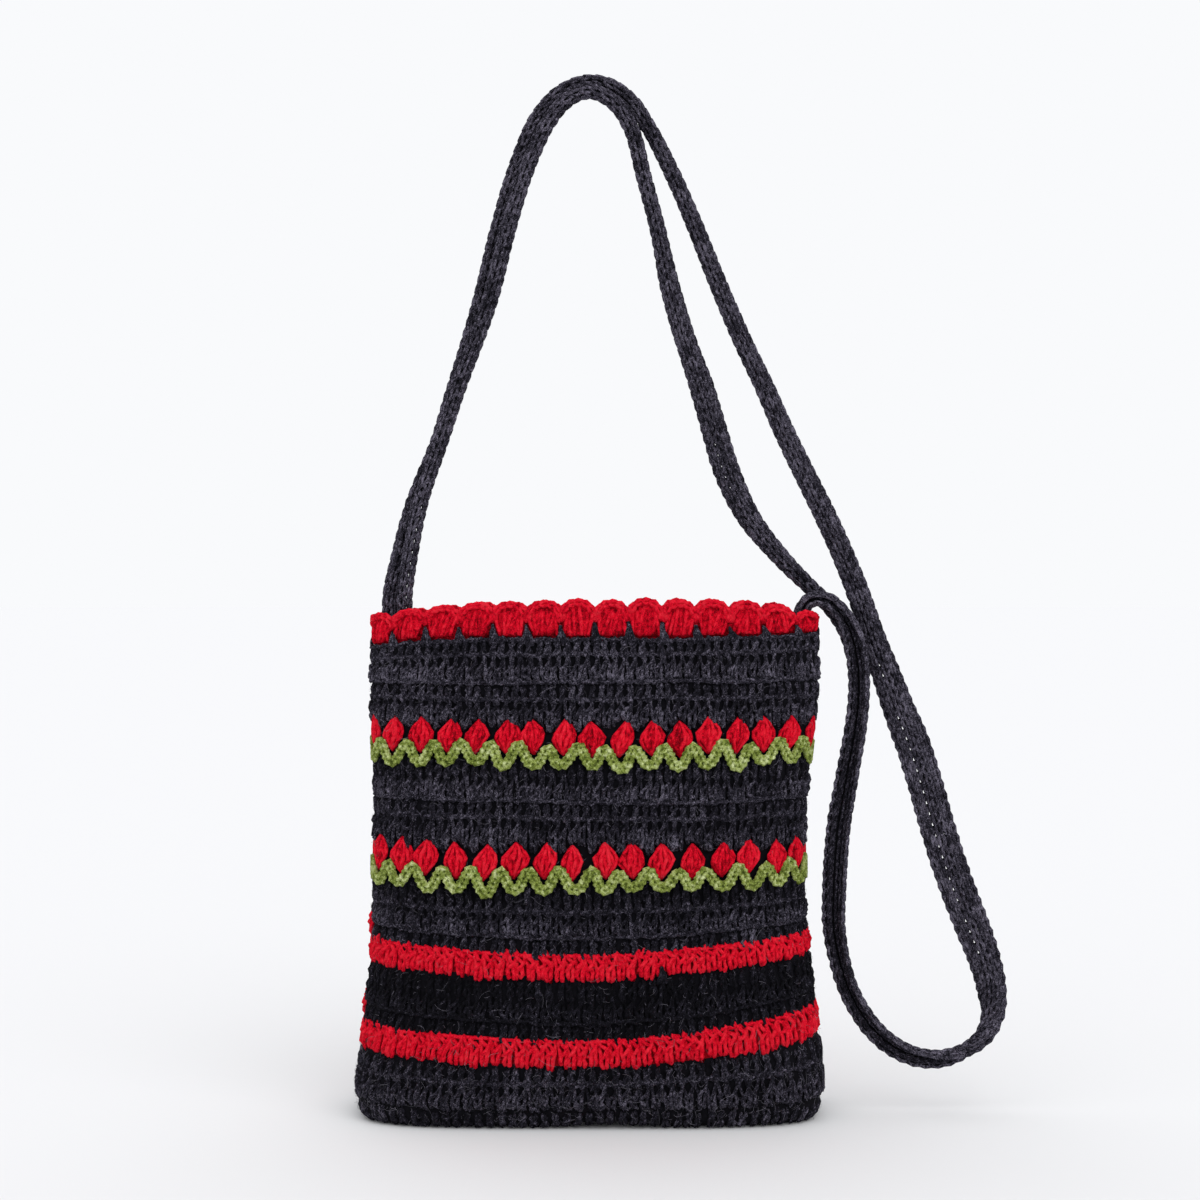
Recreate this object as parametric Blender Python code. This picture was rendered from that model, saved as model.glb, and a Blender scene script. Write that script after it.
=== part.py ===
"""A crocheted crossbody bag: a pouch worked in the round from its flat base, with two raised rows of
tulips, a scalloped mouth, and one long crocheted band that runs twice between the two top corners.

Tables are in millimetres and the meshes in metres. +X is to the right of someone who looks at the
bag's front, +Y is to its back, and +Z is up. The origin is the middle of the base, on the surface
that the bag stands on."""

import bpy
import numpy as np

MM = 0.001
GAP = 0.3  # between two pieces that touch
SEAT = 0.5  # between the wall and a row worked onto it

# The bag's wall. A point on it is given by the fraction of the way round, from the left side past
# the front to the right side and back, and by its height.
WALL = 3.2
RIM_HEIGHT = 213.5
SECTION_COLUMNS = ("height", "left", "right", "half_depth", "squareness")
SECTIONS = (
    (0, 104.6, 99.8, 33.5, 4.0),
    (12, 106.6, 101.6, 34.2, 3.8),
    (28, 104.4, 99.6, 33.8, 3.3),
    (48, 101.9, 97.2, 32.6, 3.0),
    (80, 99.6, 94.7, 31.2, 2.8),
    (112, 99.2, 94.0, 29.8, 2.7),
    (160, 99.3, 96.4, 26.2, 2.6),
    (190, 100.8, 100.4, 20.0, 2.7),
    (213.5, 100.3, 100.2, 15.4, 3.1),
    (236, 99.8, 100.0, 14.2, 3.2),
)

# Each round of stitches rides up or sags towards the two sides, by a power of its distance from the
# middle over the half width.
LIFT_COLUMNS = ("height", "left", "left_power", "right", "right_power")
LIFTS = (
    (0, 0.0, 2, 0.0, 2),
    (14, 1.2, 1.6, 3.5, 1.8),
    (30, 4.0, 1.3, 11.8, 1.6),
    (70, 5.1, 2.6, 8.0, 1.2),
    (102, 1.3, 2, 3.2, 2),
    (120, 2.0, 2, 2.0, 2),
    (170, 1.3, 2, 1.3, 2),
    (196, 0.0, 3, 2.0, 2),
    (213.5, -4.0, 6, 2.5, 2),
    (232, -7.0, 2.2, -7.0, 7),
)

# Soft swells (positive) and hollows of the hanging wall.
SWELL_COLUMNS = ("fraction", "height", "spread_round", "spread_up", "out")
SWELLS = (
    (0.27, 52, 0.13, 38, 1.6),
    (0.13, 172, 0.07, 26, -1.8),
    (0.36, 150, 0.08, 30, 1.4),
    (0.05, 30, 0.02, 22, -1.4),
    (0.45, 118, 0.03, 40, -1.2),
    (0.72, 90, 0.12, 50, 2.0),
    (0.86, 160, 0.07, 34, -1.6),
)

# Rounds of stitches show as ribs: the wall swells over each groove and falls back to the next one.
TULIPS = 34
WALL_COLUMNS = 2 * TULIPS
FOOT_ROUND = 6.0
FOOT_ANGLES = (0, 30, 60, 90)
GROOVES = (27.0, 45.6, 64.6, 83.2, 141.9, 193.6)
GROOVE_DEPTH = 0.9
RIB_OUT = 0.6
RIB_ABOVE_GROOVE = 4.5
PLAIN_HEIGHTS = (16, 98, 113, 128, 153.5, 167, 181, 208)
INNER_HEIGHTS = (196, 172, 145, 115, 85, 55, 28, 13)
FLOOR_ROUND = 5.0

# A tulip row: the height of its leaves' tips on the wall, and the shift of its first tulip in tulips.
# The other heights are above those tips, in the gap between two petals and in the middle of one.
TULIP_ROWS = (("upper", 156.0, 0.0), ("lower", 102.0, 0.5))
LEAF_BOTTOM_GAP, LEAF_BOTTOM_MIDDLE = 7.7, 0.0
LEAF_TOP_GAP, LEAF_TOP_MIDDLE = 14.4, 7.0
PETAL_TOP_GAP, PETAL_TOP_MIDDLE = 18.2, 23.2
PETAL_OVER_LEAF = 0.8
PETAL_COLUMNS = 4
PETAL_EDGE_OUT = 1.2
PETAL_BAND_OUT = 1.5
PETAL_PUFF = 2.0
PETAL_SHOULDERS = (0.3, 0.72)
LEAF_OUT = 2.4
SIDE_FLATTEN = 0.65

# The scalloped edging.
SCALLOPS = 28
SCALLOP_COLUMNS = 4
SCALLOP_ARC = (0.0, 0.8, 1.0, 0.8)
EDGE_NOTCH_HEIGHT = 13.6
EDGE_CROWN = 4.6
EDGE_MIDDLE = 0.42
EDGE_THICK_TOP = 2.4
EDGE_TOP_IN = 0.5
EDGE_PUFF = 1.3

# The crocheted band. Its flat section is curled lengthwise by an angle, 330 degrees being nearly a
# tube, and turned about its own run: at 0 the back of the curl faces the front.
BAND_THICK = 2.0
BAND_ARC_POINTS = 6
STEPS_A_ROW = 2
BAND_COLUMNS = ("x", "y", "z", "width", "curl", "turn")
LONG_RUN = (
    (-93.4, 0.0, 207.0, 13.3, 325, 0),
    (-93.3, 0.3, 222.0, 13.3, 325, 0),
    (-93.1, 1.4, 234.0, 13.3, 325, 0),
    (-90.2, 2.6, 248.0, 13.3, 325, 10),
    (-82.7, 3.2, 276.0, 13.3, 325, 20),
    (-71.7, 3.6, 303.5, 13.3, 320, 20),
    (-65.2, 3.6, 324.5, 13.3, 315, 20),
    (-52.2, 3.2, 368.0, 13.3, 315, 10),
    (-44.4, 2.9, 400.0, 13.3, 320, 0),
    (-34.6, 2.5, 432.5, 13.3, 325, 0),
    (-26.2, 2.5, 451.2, 13.3, 325, 0),
    (-17.2, 2.5, 461.6, 13.3, 325, 0),
    (-8.8, 2.5, 466.2, 13.3, 325, 0),
    (-1.0, 2.4, 467.4, 13.3, 325, 0),
    (7.4, 2.2, 465.4, 13.3, 325, 0),
    (16.4, 1.8, 458.6, 13.3, 325, 0),
    (24.4, 1.2, 446.5, 13.3, 325, 0),
    (35.5, 0.4, 424.5, 13.3, 315, 10),
    (46.0, 0.0, 400.0, 13.3, 290, 20),
    (55.5, 0.0, 376.0, 13.3, 265, 20),
    (67.5, 0.0, 348.0, 13.3, 245, 20),
    (77.0, 0.0, 328.0, 13.3, 235, 20),
    (85.5, 0.5, 308.5, 13.3, 220, 20),
    (95.0, 1.2, 289.0, 13.3, 210, 20),
    (105.0, 2.2, 269.0, 13.3, 200, 20),
    (114.0, 3.6, 249.5, 13.3, 195, 15),
    (121.5, 4.8, 231.5, 13.3, 188, 5),
    (127.5, 5.2, 213.5, 13.6, 165, 0),
    (133.0, 4.6, 198.0, 14.0, 125, 0),
    (138.5, 3.6, 182.5, 14.6, 90, 0),
    (144.5, 2.4, 167.0, 15.0, 50, 0),
    (149.5, 1.5, 151.0, 15.0, 40, 0),
    (155.5, 0.8, 129.5, 15.0, 32, 0),
    (159.5, 0.4, 116.0, 15.0, 30, 0),
    (165.0, 0.0, 100.0, 15.0, 32, 0),
    (171.0, 0.0, 84.5, 15.0, 40, 0),
    (177.0, 0.0, 68.5, 14.6, 80, 0),
    (180.4, 0.0, 53.0, 14.0, 130, 15),
    (180.0, 0.0, 42.5, 13.6, 170, 45),
    (175.8, 0.0, 32.8, 13.3, 195, 80),
    (167.2, 0.0, 26.0, 13.3, 210, 110),
    (156.0, 0.0, 23.2, 13.3, 210, 135),
    (146.4, 0.0, 24.2, 13.3, 210, 145),
    (136.8, -0.3, 28.4, 13.3, 210, 150),
    (127.2, -0.6, 36.4, 13.3, 210, 150),
    (120.2, -0.9, 46.0, 13.3, 215, 148),
    (115.4, -1.2, 55.4, 13.3, 215, 145),
    (111.4, -1.6, 68.8, 13.3, 200, 145),
    (108.9, -2.0, 84.5, 13.3, 170, 145),
    (109.0, -2.4, 100.0, 13.4, 155, 145),
    (109.8, -2.8, 116.0, 13.4, 150, 145),
    (111.0, -3.1, 129.5, 13.4, 155, 145),
    (113.2, -3.4, 143.0, 13.3, 165, 145),
    (116.0, -3.8, 159.0, 13.3, 180, 145),
    (118.6, -4.2, 174.5, 13.3, 195, 145),
    (120.0, -4.5, 190.5, 13.3, 205, 145),
    (119.2, -4.6, 205.0, 13.3, 195, 148),
    (116.2, -4.2, 217.5, 13.3, 230, 155),
    (111.0, -3.2, 226.5, 13.3, 290, 165),
    (104.4, -2.2, 231.7, 13.3, 320, 175),
    (97.4, -1.0, 231.2, 13.3, 325, 180),
    (93.0, -0.2, 224.0, 13.3, 325, 180),
    (92.9, 0.0, 208.0, 13.3, 325, 180),
)
SHORT_RUN = (
    (-86.4, 0.0, 207.0, 13.3, 325, 0),
    (-86.3, -0.3, 222.0, 13.3, 325, 0),
    (-86.3, -1.6, 234.0, 13.3, 325, 0),
    (-84.3, -2.8, 248.0, 13.3, 325, -10),
    (-78.8, -3.4, 276.0, 13.3, 325, -15),
    (-69.8, -3.7, 303.5, 13.3, 315, -15),
    (-63.0, -3.7, 324.5, 13.3, 310, -15),
    (-47.4, -3.4, 368.0, 13.3, 305, -10),
    (-39.2, -2.8, 400.0, 13.3, 310, -10),
    (-28.6, -2.4, 432.5, 13.3, 325, 0),
    (-21.4, -2.3, 447.6, 13.3, 325, 0),
    (-14.2, -2.3, 456.8, 13.3, 325, 0),
    (-7.8, -2.3, 461.0, 13.3, 325, 0),
    (-1.5, -2.3, 462.0, 13.3, 325, 0),
    (5.0, -2.2, 459.6, 13.3, 325, 0),
    (10.8, -1.9, 454.8, 13.3, 325, 0),
    (15.8, -1.4, 446.8, 13.3, 325, 0),
    (22.0, -0.6, 424.5, 13.3, 325, 0),
    (28.5, 0.0, 400.0, 13.3, 315, 5),
    (34.0, 0.0, 374.0, 13.3, 230, 10),
    (41.5, 0.0, 348.0, 13.3, 210, 10),
    (48.6, 0.0, 328.0, 13.3, 175, 5),
    (54.4, 0.0, 308.5, 13.3, 160, 0),
    (60.4, 0.2, 289.0, 13.3, 150, 0),
    (70.2, 0.8, 269.0, 13.3, 190, 0),
    (86.0, 2.4, 249.5, 13.3, 265, 0),
    (97.0, 4.8, 238.6, 13.3, 315, 0),
    (104.6, 5.6, 231.4, 13.3, 325, 0),
    (111.0, 5.4, 223.6, 13.3, 325, 0),
    (116.0, 5.0, 214.0, 13.3, 325, 0),
    (118.6, 4.6, 204.0, 13.3, 325, 0),
)

COLOURS = {
    "charcoal_wool": (0.024, 0.023, 0.029, 1.0),
    "red_wool": (0.62, 0.012, 0.02, 1.0),
    "green_wool": (0.36, 0.52, 0.09, 1.0),
}
WOOL_ROUGHNESS = 0.95


def column(table, names, name):
    """One named column of a table as an array."""
    return np.array([row[names.index(name)] for row in table], float)


def smooth_curve(knots, values, at):
    """Values at `at` on a cubic through the knots, whose slope at each is that of its two neighbours."""
    slopes = np.gradient(values, knots, axis=0)
    at = np.clip(at, knots[0], knots[-1])
    i = np.clip(np.searchsorted(knots, at, side="right") - 1, 0, len(knots) - 2)
    span = knots[i + 1] - knots[i]
    t = (at - knots[i]) / span
    if values.ndim > 1:
        t, span = t[..., None], span[..., None]
    start = (2 * t**3 - 3 * t**2 + 1) * values[i] + (t**3 - 2 * t**2 + t) * span * slopes[i]
    end = (3 * t**2 - 2 * t**3) * values[i + 1] + (t**3 - t**2) * span * slopes[i + 1]
    return start + end


def section_at(height):
    """Left and right half widths, half depth and squareness of the wall at one height."""
    heights = column(SECTIONS, SECTION_COLUMNS, "height")
    names = SECTION_COLUMNS[1:]
    return [smooth_curve(heights, column(SECTIONS, SECTION_COLUMNS, name), height) for name in names]


def outline(height, points=720):
    """The wall's closed outline at one height: a rounded box from the left side past the front."""
    left, right, half_depth, squareness = section_at(height)
    angle = np.pi + np.linspace(0, 2 * np.pi, points + 1)
    power = 2 / squareness
    x = np.sign(np.cos(angle)) * np.abs(np.cos(angle)) ** power
    y = np.sign(np.sin(angle)) * np.abs(np.sin(angle)) ** power
    return np.stack([(left + right) / 2 * x + (right - left) / 2, half_depth * y], axis=1)


def swell(fraction, height):
    """How far the hanging wall swells out at each point: a sum of soft round bumps and hollows."""
    total = np.zeros(np.broadcast(fraction, height).shape)
    for centre, level, spread_round, spread_up, out in SWELLS:
        round_distance = (fraction - centre + 0.5) % 1 - 0.5
        total += out * np.exp(-((round_distance / spread_round) ** 2) - ((height - level) / spread_up) ** 2)
    return total


def wall(fraction, height, out=0.0):
    """Points `out` outside the wall. Each lies on its height's outline, at an even fraction of its length."""
    fraction, height, out = np.broadcast_arrays(np.asarray(fraction, float), height, out)
    out = out + swell(fraction, height)
    points = np.empty(fraction.shape + (3,))
    for level in np.unique(height):
        here = height == level
        path = outline(level)
        steps = np.hypot(*np.diff(path, axis=0).T)
        along = np.concatenate([[0], np.cumsum(steps)]) / steps.sum()
        tangent = np.gradient(path[:-1], axis=0)
        tangent[0] = path[1] - path[-2]
        tangent[-1] = path[0] - path[-3]
        normal = np.stack([tangent[:, 1], -tangent[:, 0]], axis=1)
        normal /= np.linalg.norm(normal, axis=1, keepdims=True)
        normal = np.concatenate([normal, normal[:1]])
        for axis in (0, 1):
            place = np.interp(fraction[here] % 1, along, path[:, axis])
            outward = np.interp(fraction[here] % 1, along, normal[:, axis])
            points[here, axis] = place + out[here] * outward
    points[..., 2] = height + lift(height, points[..., 0])
    return points


def lift(height, x):
    """How far a round rides up at x: the side's own lift times a power of the distance across."""
    heights = column(LIFTS, LIFT_COLUMNS, "height")
    names = LIFT_COLUMNS[1:]
    left, left_power, right, right_power = (
        smooth_curve(heights, column(LIFTS, LIFT_COLUMNS, name), height) for name in names
    )
    across = np.abs(x) / column(SECTIONS, SECTION_COLUMNS, "right").max()
    return np.where(x < 0, left * across**left_power, right * across**right_power)


def wool(name):
    """The plain material of one colour of wool."""
    material = bpy.data.materials.get(name) or bpy.data.materials.new(name)
    material.use_nodes = True
    shader = material.node_tree.nodes["Principled BSDF"]
    shader.inputs["Base Color"].default_value = COLOURS[name]
    shader.inputs["Roughness"].default_value = WOOL_ROUGHNESS
    shader.inputs["Metallic"].default_value = 0.0
    material.diffuse_color = COLOURS[name]
    return material


def solid(name, points, faces, material):
    """A smooth-shaded mesh object of points in millimetres."""
    mesh = bpy.data.meshes.new(name)
    mesh.from_pydata((points * MM).tolist(), [], faces)
    mesh.materials.append(wool(material))
    mesh.shade_smooth()
    mesh.set_sharp_from_angle(angle=np.radians(50))
    made = bpy.data.objects.new(name, mesh)
    bpy.context.scene.collection.objects.link(made)
    return made


def quads(rows, columns, rows_close, columns_close):
    """Faces between neighbouring rows of a grid of points, which may close on itself either way."""
    found = []
    for row in range(rows if rows_close else rows - 1):
        for place in range(columns if columns_close else columns - 1):
            here, beside = row * columns + place, row * columns + (place + 1) % columns
            above = (row + 1) % rows * columns
            found.append((here, beside, above + (place + 1) % columns, above + place))
    return found


def wall_rows():
    """Heights and reliefs of the outer wall's rows, up from the foot: its round, then ribs and grooves."""
    angles = np.radians(FOOT_ANGLES)
    rows = list(zip(FOOT_ROUND * (1 - np.cos(angles)), -FOOT_ROUND * (1 - np.sin(angles))))
    rows += [(height, 0.0) for height in PLAIN_HEIGHTS]
    rows += [(height, -GROOVE_DEPTH) for height in GROOVES]
    rows += [(height + RIB_ABOVE_GROOVE, RIB_OUT) for height in GROOVES]
    rows.append((RIM_HEIGHT, 0.0))
    return sorted(rows)


def make_body():
    """The pouch: rings of points up the outside, over the rim and down the inside to the floor."""
    fraction = np.arange(WALL_COLUMNS) / WALL_COLUMNS
    rings = [wall(fraction, height, out) for height, out in wall_rows()]
    rings.append(wall(fraction, RIM_HEIGHT, -WALL))
    rings += [wall(fraction, height, -WALL) for height in INNER_HEIGHTS]
    floor = wall(fraction, FOOT_ROUND, -WALL - FLOOR_ROUND)
    floor[:, 2] = WALL
    rings.append(floor)
    faces = quads(len(rings), WALL_COLUMNS, rows_close=False, columns_close=True)
    last = (len(rings) - 1) * WALL_COLUMNS
    faces.append(tuple(range(WALL_COLUMNS))[::-1])
    faces.append(tuple(last + place for place in range(WALL_COLUMNS)))
    return solid("body", np.concatenate(rings), faces, "charcoal_wool")


def make_ring(name, rows, material):
    """A closed band round the bag: `rows` are the corners of its section, each a ring of points."""
    faces = quads(len(rows), len(rows[0]), rows_close=True, columns_close=True)
    return solid(name, np.concatenate(rows), faces, material)


def zigzag(count, points, shift=0.0):
    """Fractions of the way round, and how far each is from a gap (0) to the middle of a repeat (1)."""
    place = np.arange(count * points) / points
    return (place + shift) / count, 1 - np.abs(2 * (place % 1) - 1)


def between(at_gap, at_middle, share):
    return at_gap + (at_middle - at_gap) * share


def relief(out, fraction):
    """How far a row stands out, flattened where the pouch folds round at its two sides."""
    fold = np.abs(np.cos(2 * np.pi * fraction)) ** 12
    return SEAT + (out - SEAT) * (1 - SIDE_FLATTEN * fold)


def make_leaves(row, base, shift):
    """The zigzag chain of leaves, up between the petals and down under each."""
    fraction, share = zigzag(TULIPS, 2, shift)
    low = base + between(LEAF_BOTTOM_GAP, LEAF_BOTTOM_MIDDLE, share)
    high = base + between(LEAF_TOP_GAP, LEAF_TOP_MIDDLE, share)
    corners = ((low, LEAF_OUT), (high, LEAF_OUT), (high, SEAT), (low, SEAT))
    rows = [wall(fraction, height, relief(out, fraction)) for height, out in corners]
    return make_ring(f"leaf_row_{row}", rows, "green_wool")


def make_petals(row, base, shift):
    """A row of puffed petals, pinched to a narrow band between two of them."""
    fraction, share = zigzag(TULIPS, PETAL_COLUMNS, shift)
    low = base + between(LEAF_TOP_GAP, LEAF_TOP_MIDDLE, share) + PETAL_OVER_LEAF
    high = base + between(PETAL_TOP_GAP, PETAL_TOP_MIDDLE, share)
    crown = PETAL_BAND_OUT + PETAL_PUFF * share
    corners = [(low, PETAL_EDGE_OUT)]
    corners += [(low + (high - low) * shoulder, crown) for shoulder in PETAL_SHOULDERS]
    corners += [(high, PETAL_EDGE_OUT), (high, SEAT), (low, SEAT)]
    rows = [wall(fraction, height, relief(out, fraction)) for height, out in corners]
    return make_ring(f"petal_row_{row}", rows, "red_wool")


def make_scallop_edge():
    """The edging: it stands on the rim, a row of puffed arches with a notch between each two."""
    fraction, share = zigzag(SCALLOPS, SCALLOP_COLUMNS)
    arc = np.tile(SCALLOP_ARC, SCALLOPS)
    bottom = np.full(len(fraction), RIM_HEIGHT + GAP)
    reach = EDGE_NOTCH_HEIGHT + EDGE_CROWN * arc
    top = bottom + reach
    middle = bottom + reach * EDGE_MIDDLE
    corners = (
        (bottom, 0.0),
        (middle, EDGE_PUFF * arc),
        (top, -EDGE_TOP_IN),
        (top, -EDGE_TOP_IN - EDGE_THICK_TOP),
        (middle, -WALL),
        (bottom, -WALL),
    )
    rows = [wall(fraction, height, out) for height, out in corners]
    return make_ring("scallop_edge", rows, "red_wool")


def run_of(table):
    """The band's smooth run: its points, with width, curl and turn beside each, at even shares of a row."""
    rows = np.array(table, float)
    steps = np.linalg.norm(np.diff(rows[:, :3], axis=0), axis=1)
    along = np.concatenate([[0], np.cumsum(steps)])
    at = np.interp(np.arange(STEPS_A_ROW * (len(rows) - 1) + 1) / STEPS_A_ROW, np.arange(len(rows)), along)
    return smooth_curve(along, rows, at)


def make_band(name, table):
    """The curled band: its section is an arc with thickness, carried along the run and turned about it."""
    run = run_of(table)
    places, (width, curl, turn) = run[:, :3], run[:, 3:].T
    tangent = np.gradient(places, axis=0)
    tangent /= np.linalg.norm(tangent, axis=1, keepdims=True)
    side = np.cross(tangent, (0, 1, 0))
    side /= np.linalg.norm(side, axis=1, keepdims=True)
    front = np.cross(tangent, side)
    curl, turn = np.radians(curl)[:, None], np.radians(turn)[:, None]
    radius = width[:, None] / curl
    share = np.linspace(-0.5, 0.5, BAND_ARC_POINTS)
    angle = np.concatenate([curl * share, curl * share[::-1]], axis=1)
    skin = np.repeat([BAND_THICK / 2, -BAND_THICK / 2], BAND_ARC_POINTS)
    reach = radius + skin
    across = reach * np.sin(angle)
    outward = reach * np.cos(angle) - radius * (1 + np.cos(curl / 2)) / 2
    to_side = across * np.cos(turn) - outward * np.sin(turn)
    to_front = across * np.sin(turn) + outward * np.cos(turn)
    points = places[:, None] + to_side[..., None] * side[:, None] + to_front[..., None] * front[:, None]
    stations, corners = points.shape[:2]
    faces = [face[::-1] for face in quads(stations, corners, rows_close=False, columns_close=True)]
    faces.append(tuple(range(corners)))
    faces.append(tuple((stations - 1) * corners + place for place in range(corners))[::-1])
    return solid(name, points.reshape(-1, 3), faces, "charcoal_wool")


def main():
    for old in list(bpy.data.objects):
        bpy.data.objects.remove(old)
    make_body()
    for row in TULIP_ROWS:
        make_leaves(*row)
        make_petals(*row)
    make_scallop_edge()
    make_band("strap_long_run", LONG_RUN)
    make_band("strap_short_run", SHORT_RUN)


main()
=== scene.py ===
"""The looks of a crocheted crossbody bag: every stitch of its rounds, petals, leaves, edging and strap
is a strand of wool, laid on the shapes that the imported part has.

Tables and shape functions are in millimetres and meshes in metres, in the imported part's frame: +X is
to the right of someone who faces the bag's front, +Y is to its back, +Z is up, and the origin is the
middle of the base. A place on the wall is the fraction of the way round, from the left side past the
front, its height, and how far out it is."""

import bpy
import numpy as np
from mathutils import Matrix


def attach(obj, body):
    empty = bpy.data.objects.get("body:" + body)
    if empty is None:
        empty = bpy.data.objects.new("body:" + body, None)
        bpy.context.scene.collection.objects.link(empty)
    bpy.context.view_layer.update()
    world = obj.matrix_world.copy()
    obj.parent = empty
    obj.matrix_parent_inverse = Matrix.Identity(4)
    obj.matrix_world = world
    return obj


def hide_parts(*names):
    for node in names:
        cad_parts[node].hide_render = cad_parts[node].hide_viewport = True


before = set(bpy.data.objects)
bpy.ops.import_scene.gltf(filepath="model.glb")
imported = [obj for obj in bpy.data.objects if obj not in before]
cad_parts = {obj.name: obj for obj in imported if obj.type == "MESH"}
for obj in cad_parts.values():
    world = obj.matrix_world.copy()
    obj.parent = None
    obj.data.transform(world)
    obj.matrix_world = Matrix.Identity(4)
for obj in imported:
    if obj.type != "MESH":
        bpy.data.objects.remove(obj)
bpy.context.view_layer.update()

MM = 0.001
SEED = 21

# --- the pouch, in millimetres ------------------------------------------------------------------------

# The wall's sections, the way that its rounds ride up to the sides, and its swells and hollows.
SECTION_COLUMNS = ("height", "left", "right", "half_depth", "squareness")
SECTIONS = (
    (0, 104.6, 99.8, 33.5, 4.0),
    (12, 106.6, 101.6, 34.2, 3.8),
    (28, 104.4, 99.6, 33.8, 3.3),
    (48, 101.9, 97.2, 32.6, 3.0),
    (80, 99.6, 94.7, 31.2, 2.8),
    (112, 99.2, 94.0, 29.8, 2.7),
    (160, 99.3, 96.4, 26.2, 2.6),
    (190, 100.8, 100.4, 20.0, 2.7),
    (213.5, 100.3, 100.2, 15.4, 3.1),
    (236, 99.8, 100.0, 14.2, 3.2),
)
LIFT_COLUMNS = ("height", "left", "left_power", "right", "right_power")
LIFTS = (
    (0, 0.0, 2, 0.0, 2),
    (14, 1.2, 1.6, 3.5, 1.8),
    (30, 4.0, 1.3, 11.8, 1.6),
    (70, 5.1, 2.6, 8.0, 1.2),
    (102, 1.3, 2, 3.2, 2),
    (120, 2.0, 2, 2.0, 2),
    (170, 1.3, 2, 1.3, 2),
    (196, 0.0, 3, 2.0, 2),
    (213.5, -4.0, 6, 2.5, 2),
    (232, -7.0, 2.2, -7.0, 7),
)
# Rows of a swell's fraction, height, spread round, spread up, and how far out it goes.
SWELLS = (
    (0.27, 52, 0.13, 38, 1.6),
    (0.13, 172, 0.07, 26, -1.8),
    (0.36, 150, 0.08, 30, 1.4),
    (0.05, 30, 0.02, 22, -1.4),
    (0.45, 118, 0.03, 40, -1.2),
    (0.72, 90, 0.12, 50, 2.0),
    (0.86, 160, 0.07, 34, -1.6),
)
# The soft arch of the front edge, between the two places where the base bears on the table.
FRONT_ARCH, FRONT_ARCH_X, FRONT_ARCH_SPREAD, FRONT_ARCH_REACH = 1.8, 4.5, 22.0, 16.0
WALL = 3.2
RIM_HEIGHT = 213.5
FOOT_ROUND = 6.0
FOOT_END = FOOT_ROUND * (1 - np.pi / 2)  # the level at which the foot's round has turned flat under the base
GRID_FRACTIONS = 816
GRID_STEP = 2.0
GRID_TOP = 242.0
GIRTH = 428.0

# The rounds of stitches, as rows of kind, bottom, dye, how pale the wool is, and the petals that the
# round's lower edge dips between, if any. The blacker rounds between the two stripes are the wool's own
# colour; each short round is set darker than the tall rounds beside it, as painted shade under the
# round that overhangs it.
STITCHES = 102
TALL = 12.2
SHORT = 6.4
ROUNDS = (
    ("short", 1.2, "charcoal", -0.1, None),
    ("tall", 8.2, "charcoal", -0.03, None),
    ("short", 20.5, "charcoal", -0.1, None),
    ("tall", 27.0, "red", 0.13, None),
    ("short", 39.2, "charcoal", -0.27, None),
    ("tall", 45.6, "charcoal", -0.26, None),
    ("short", 58.0, "charcoal", -0.29, None),
    ("tall", 64.6, "red", 0.13, None),
    ("short", 76.8, "charcoal", -0.11, None),
    ("tall", 83.2, "charcoal", -0.04, None),
    ("short", 95.0, "charcoal", -0.1, None),
    ("short", 100.6, "charcoal", -0.2, None),
    ("tall", 123.3, "charcoal", -0.03, "lower"),
    ("short", 135.5, "charcoal", -0.08, None),
    ("tall", 141.9, "charcoal", -0.01, None),
    ("short", 154.1, "charcoal", -0.12, None),
    ("tall", 175.0, "charcoal", 0.0, "upper"),
    ("short", 187.7, "charcoal", -0.06, None),
    ("tall", 194.2, "charcoal", 0.03, None),
    ("short", 207.6, "charcoal", -0.04, None),
)

# Strands of one stitch, as rows of (across in stitches, up, out, radius). The last strand of a tall
# stitch crosses its foot in charcoal and its head in red.
TALL_LEG = (
    (-0.08, 1.6, -1.2, 0.7),
    (-0.19, 0.95, 0.3, 0.9),
    (-0.25, 2.2, 0.95, 0.95),
    (-0.23, 4.4, 0.8, 0.9),
    (-0.31, 6.8, 0.4, 0.85),
    (-0.44, 9.2, 0.0, 0.8),
    (-0.5, 11.4, 0.4, 0.9),
    (-0.46, 12.9, -0.8, 0.6),
)
TALL_WRAP = (
    (-0.5, 3.6, -0.5, 0.6),
    (-0.24, 5.1, 1.0, 0.8),
    (0.04, 6.8, 1.35, 0.85),
    (0.3, 8.4, 1.0, 0.8),
    (0.46, 9.8, -0.3, 0.6),
)
TALL_CROSS = {
    "charcoal": (
        (0.46, 0.6, -0.4, 0.55),
        (0.26, 1.6, 0.9, 0.75),
        (0.0, 2.7, 1.3, 0.8),
        (-0.26, 3.8, 1.0, 0.75),
        (-0.46, 4.8, -0.2, 0.55),
    ),
    "red": (
        (0.42, 6.6, -0.5, 0.55),
        (0.24, 8.0, 0.9, 0.75),
        (-0.02, 9.4, 1.15, 0.8),
        (-0.26, 10.6, 0.8, 0.75),
        (-0.36, 11.8, -0.4, 0.55),
    ),
}
SHORT_LEG = (
    (0.04, -2.6, -0.7, 0.6),
    (-0.12, -1.4, 0.3, 0.9),
    (-0.24, 0.2, 0.4, 1.0),
    (-0.12, 2.2, 0.65, 1.05),
    (0.19, 4.3, 0.4, 1.0),
    (0.12, 5.9, -0.6, 0.75),
)
THICKNESS = {"charcoal": 1.0, "red": 1.2}
LOWER_ROUNDS = 12  # how many rounds the lower of the two charcoal pieces spans

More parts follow.
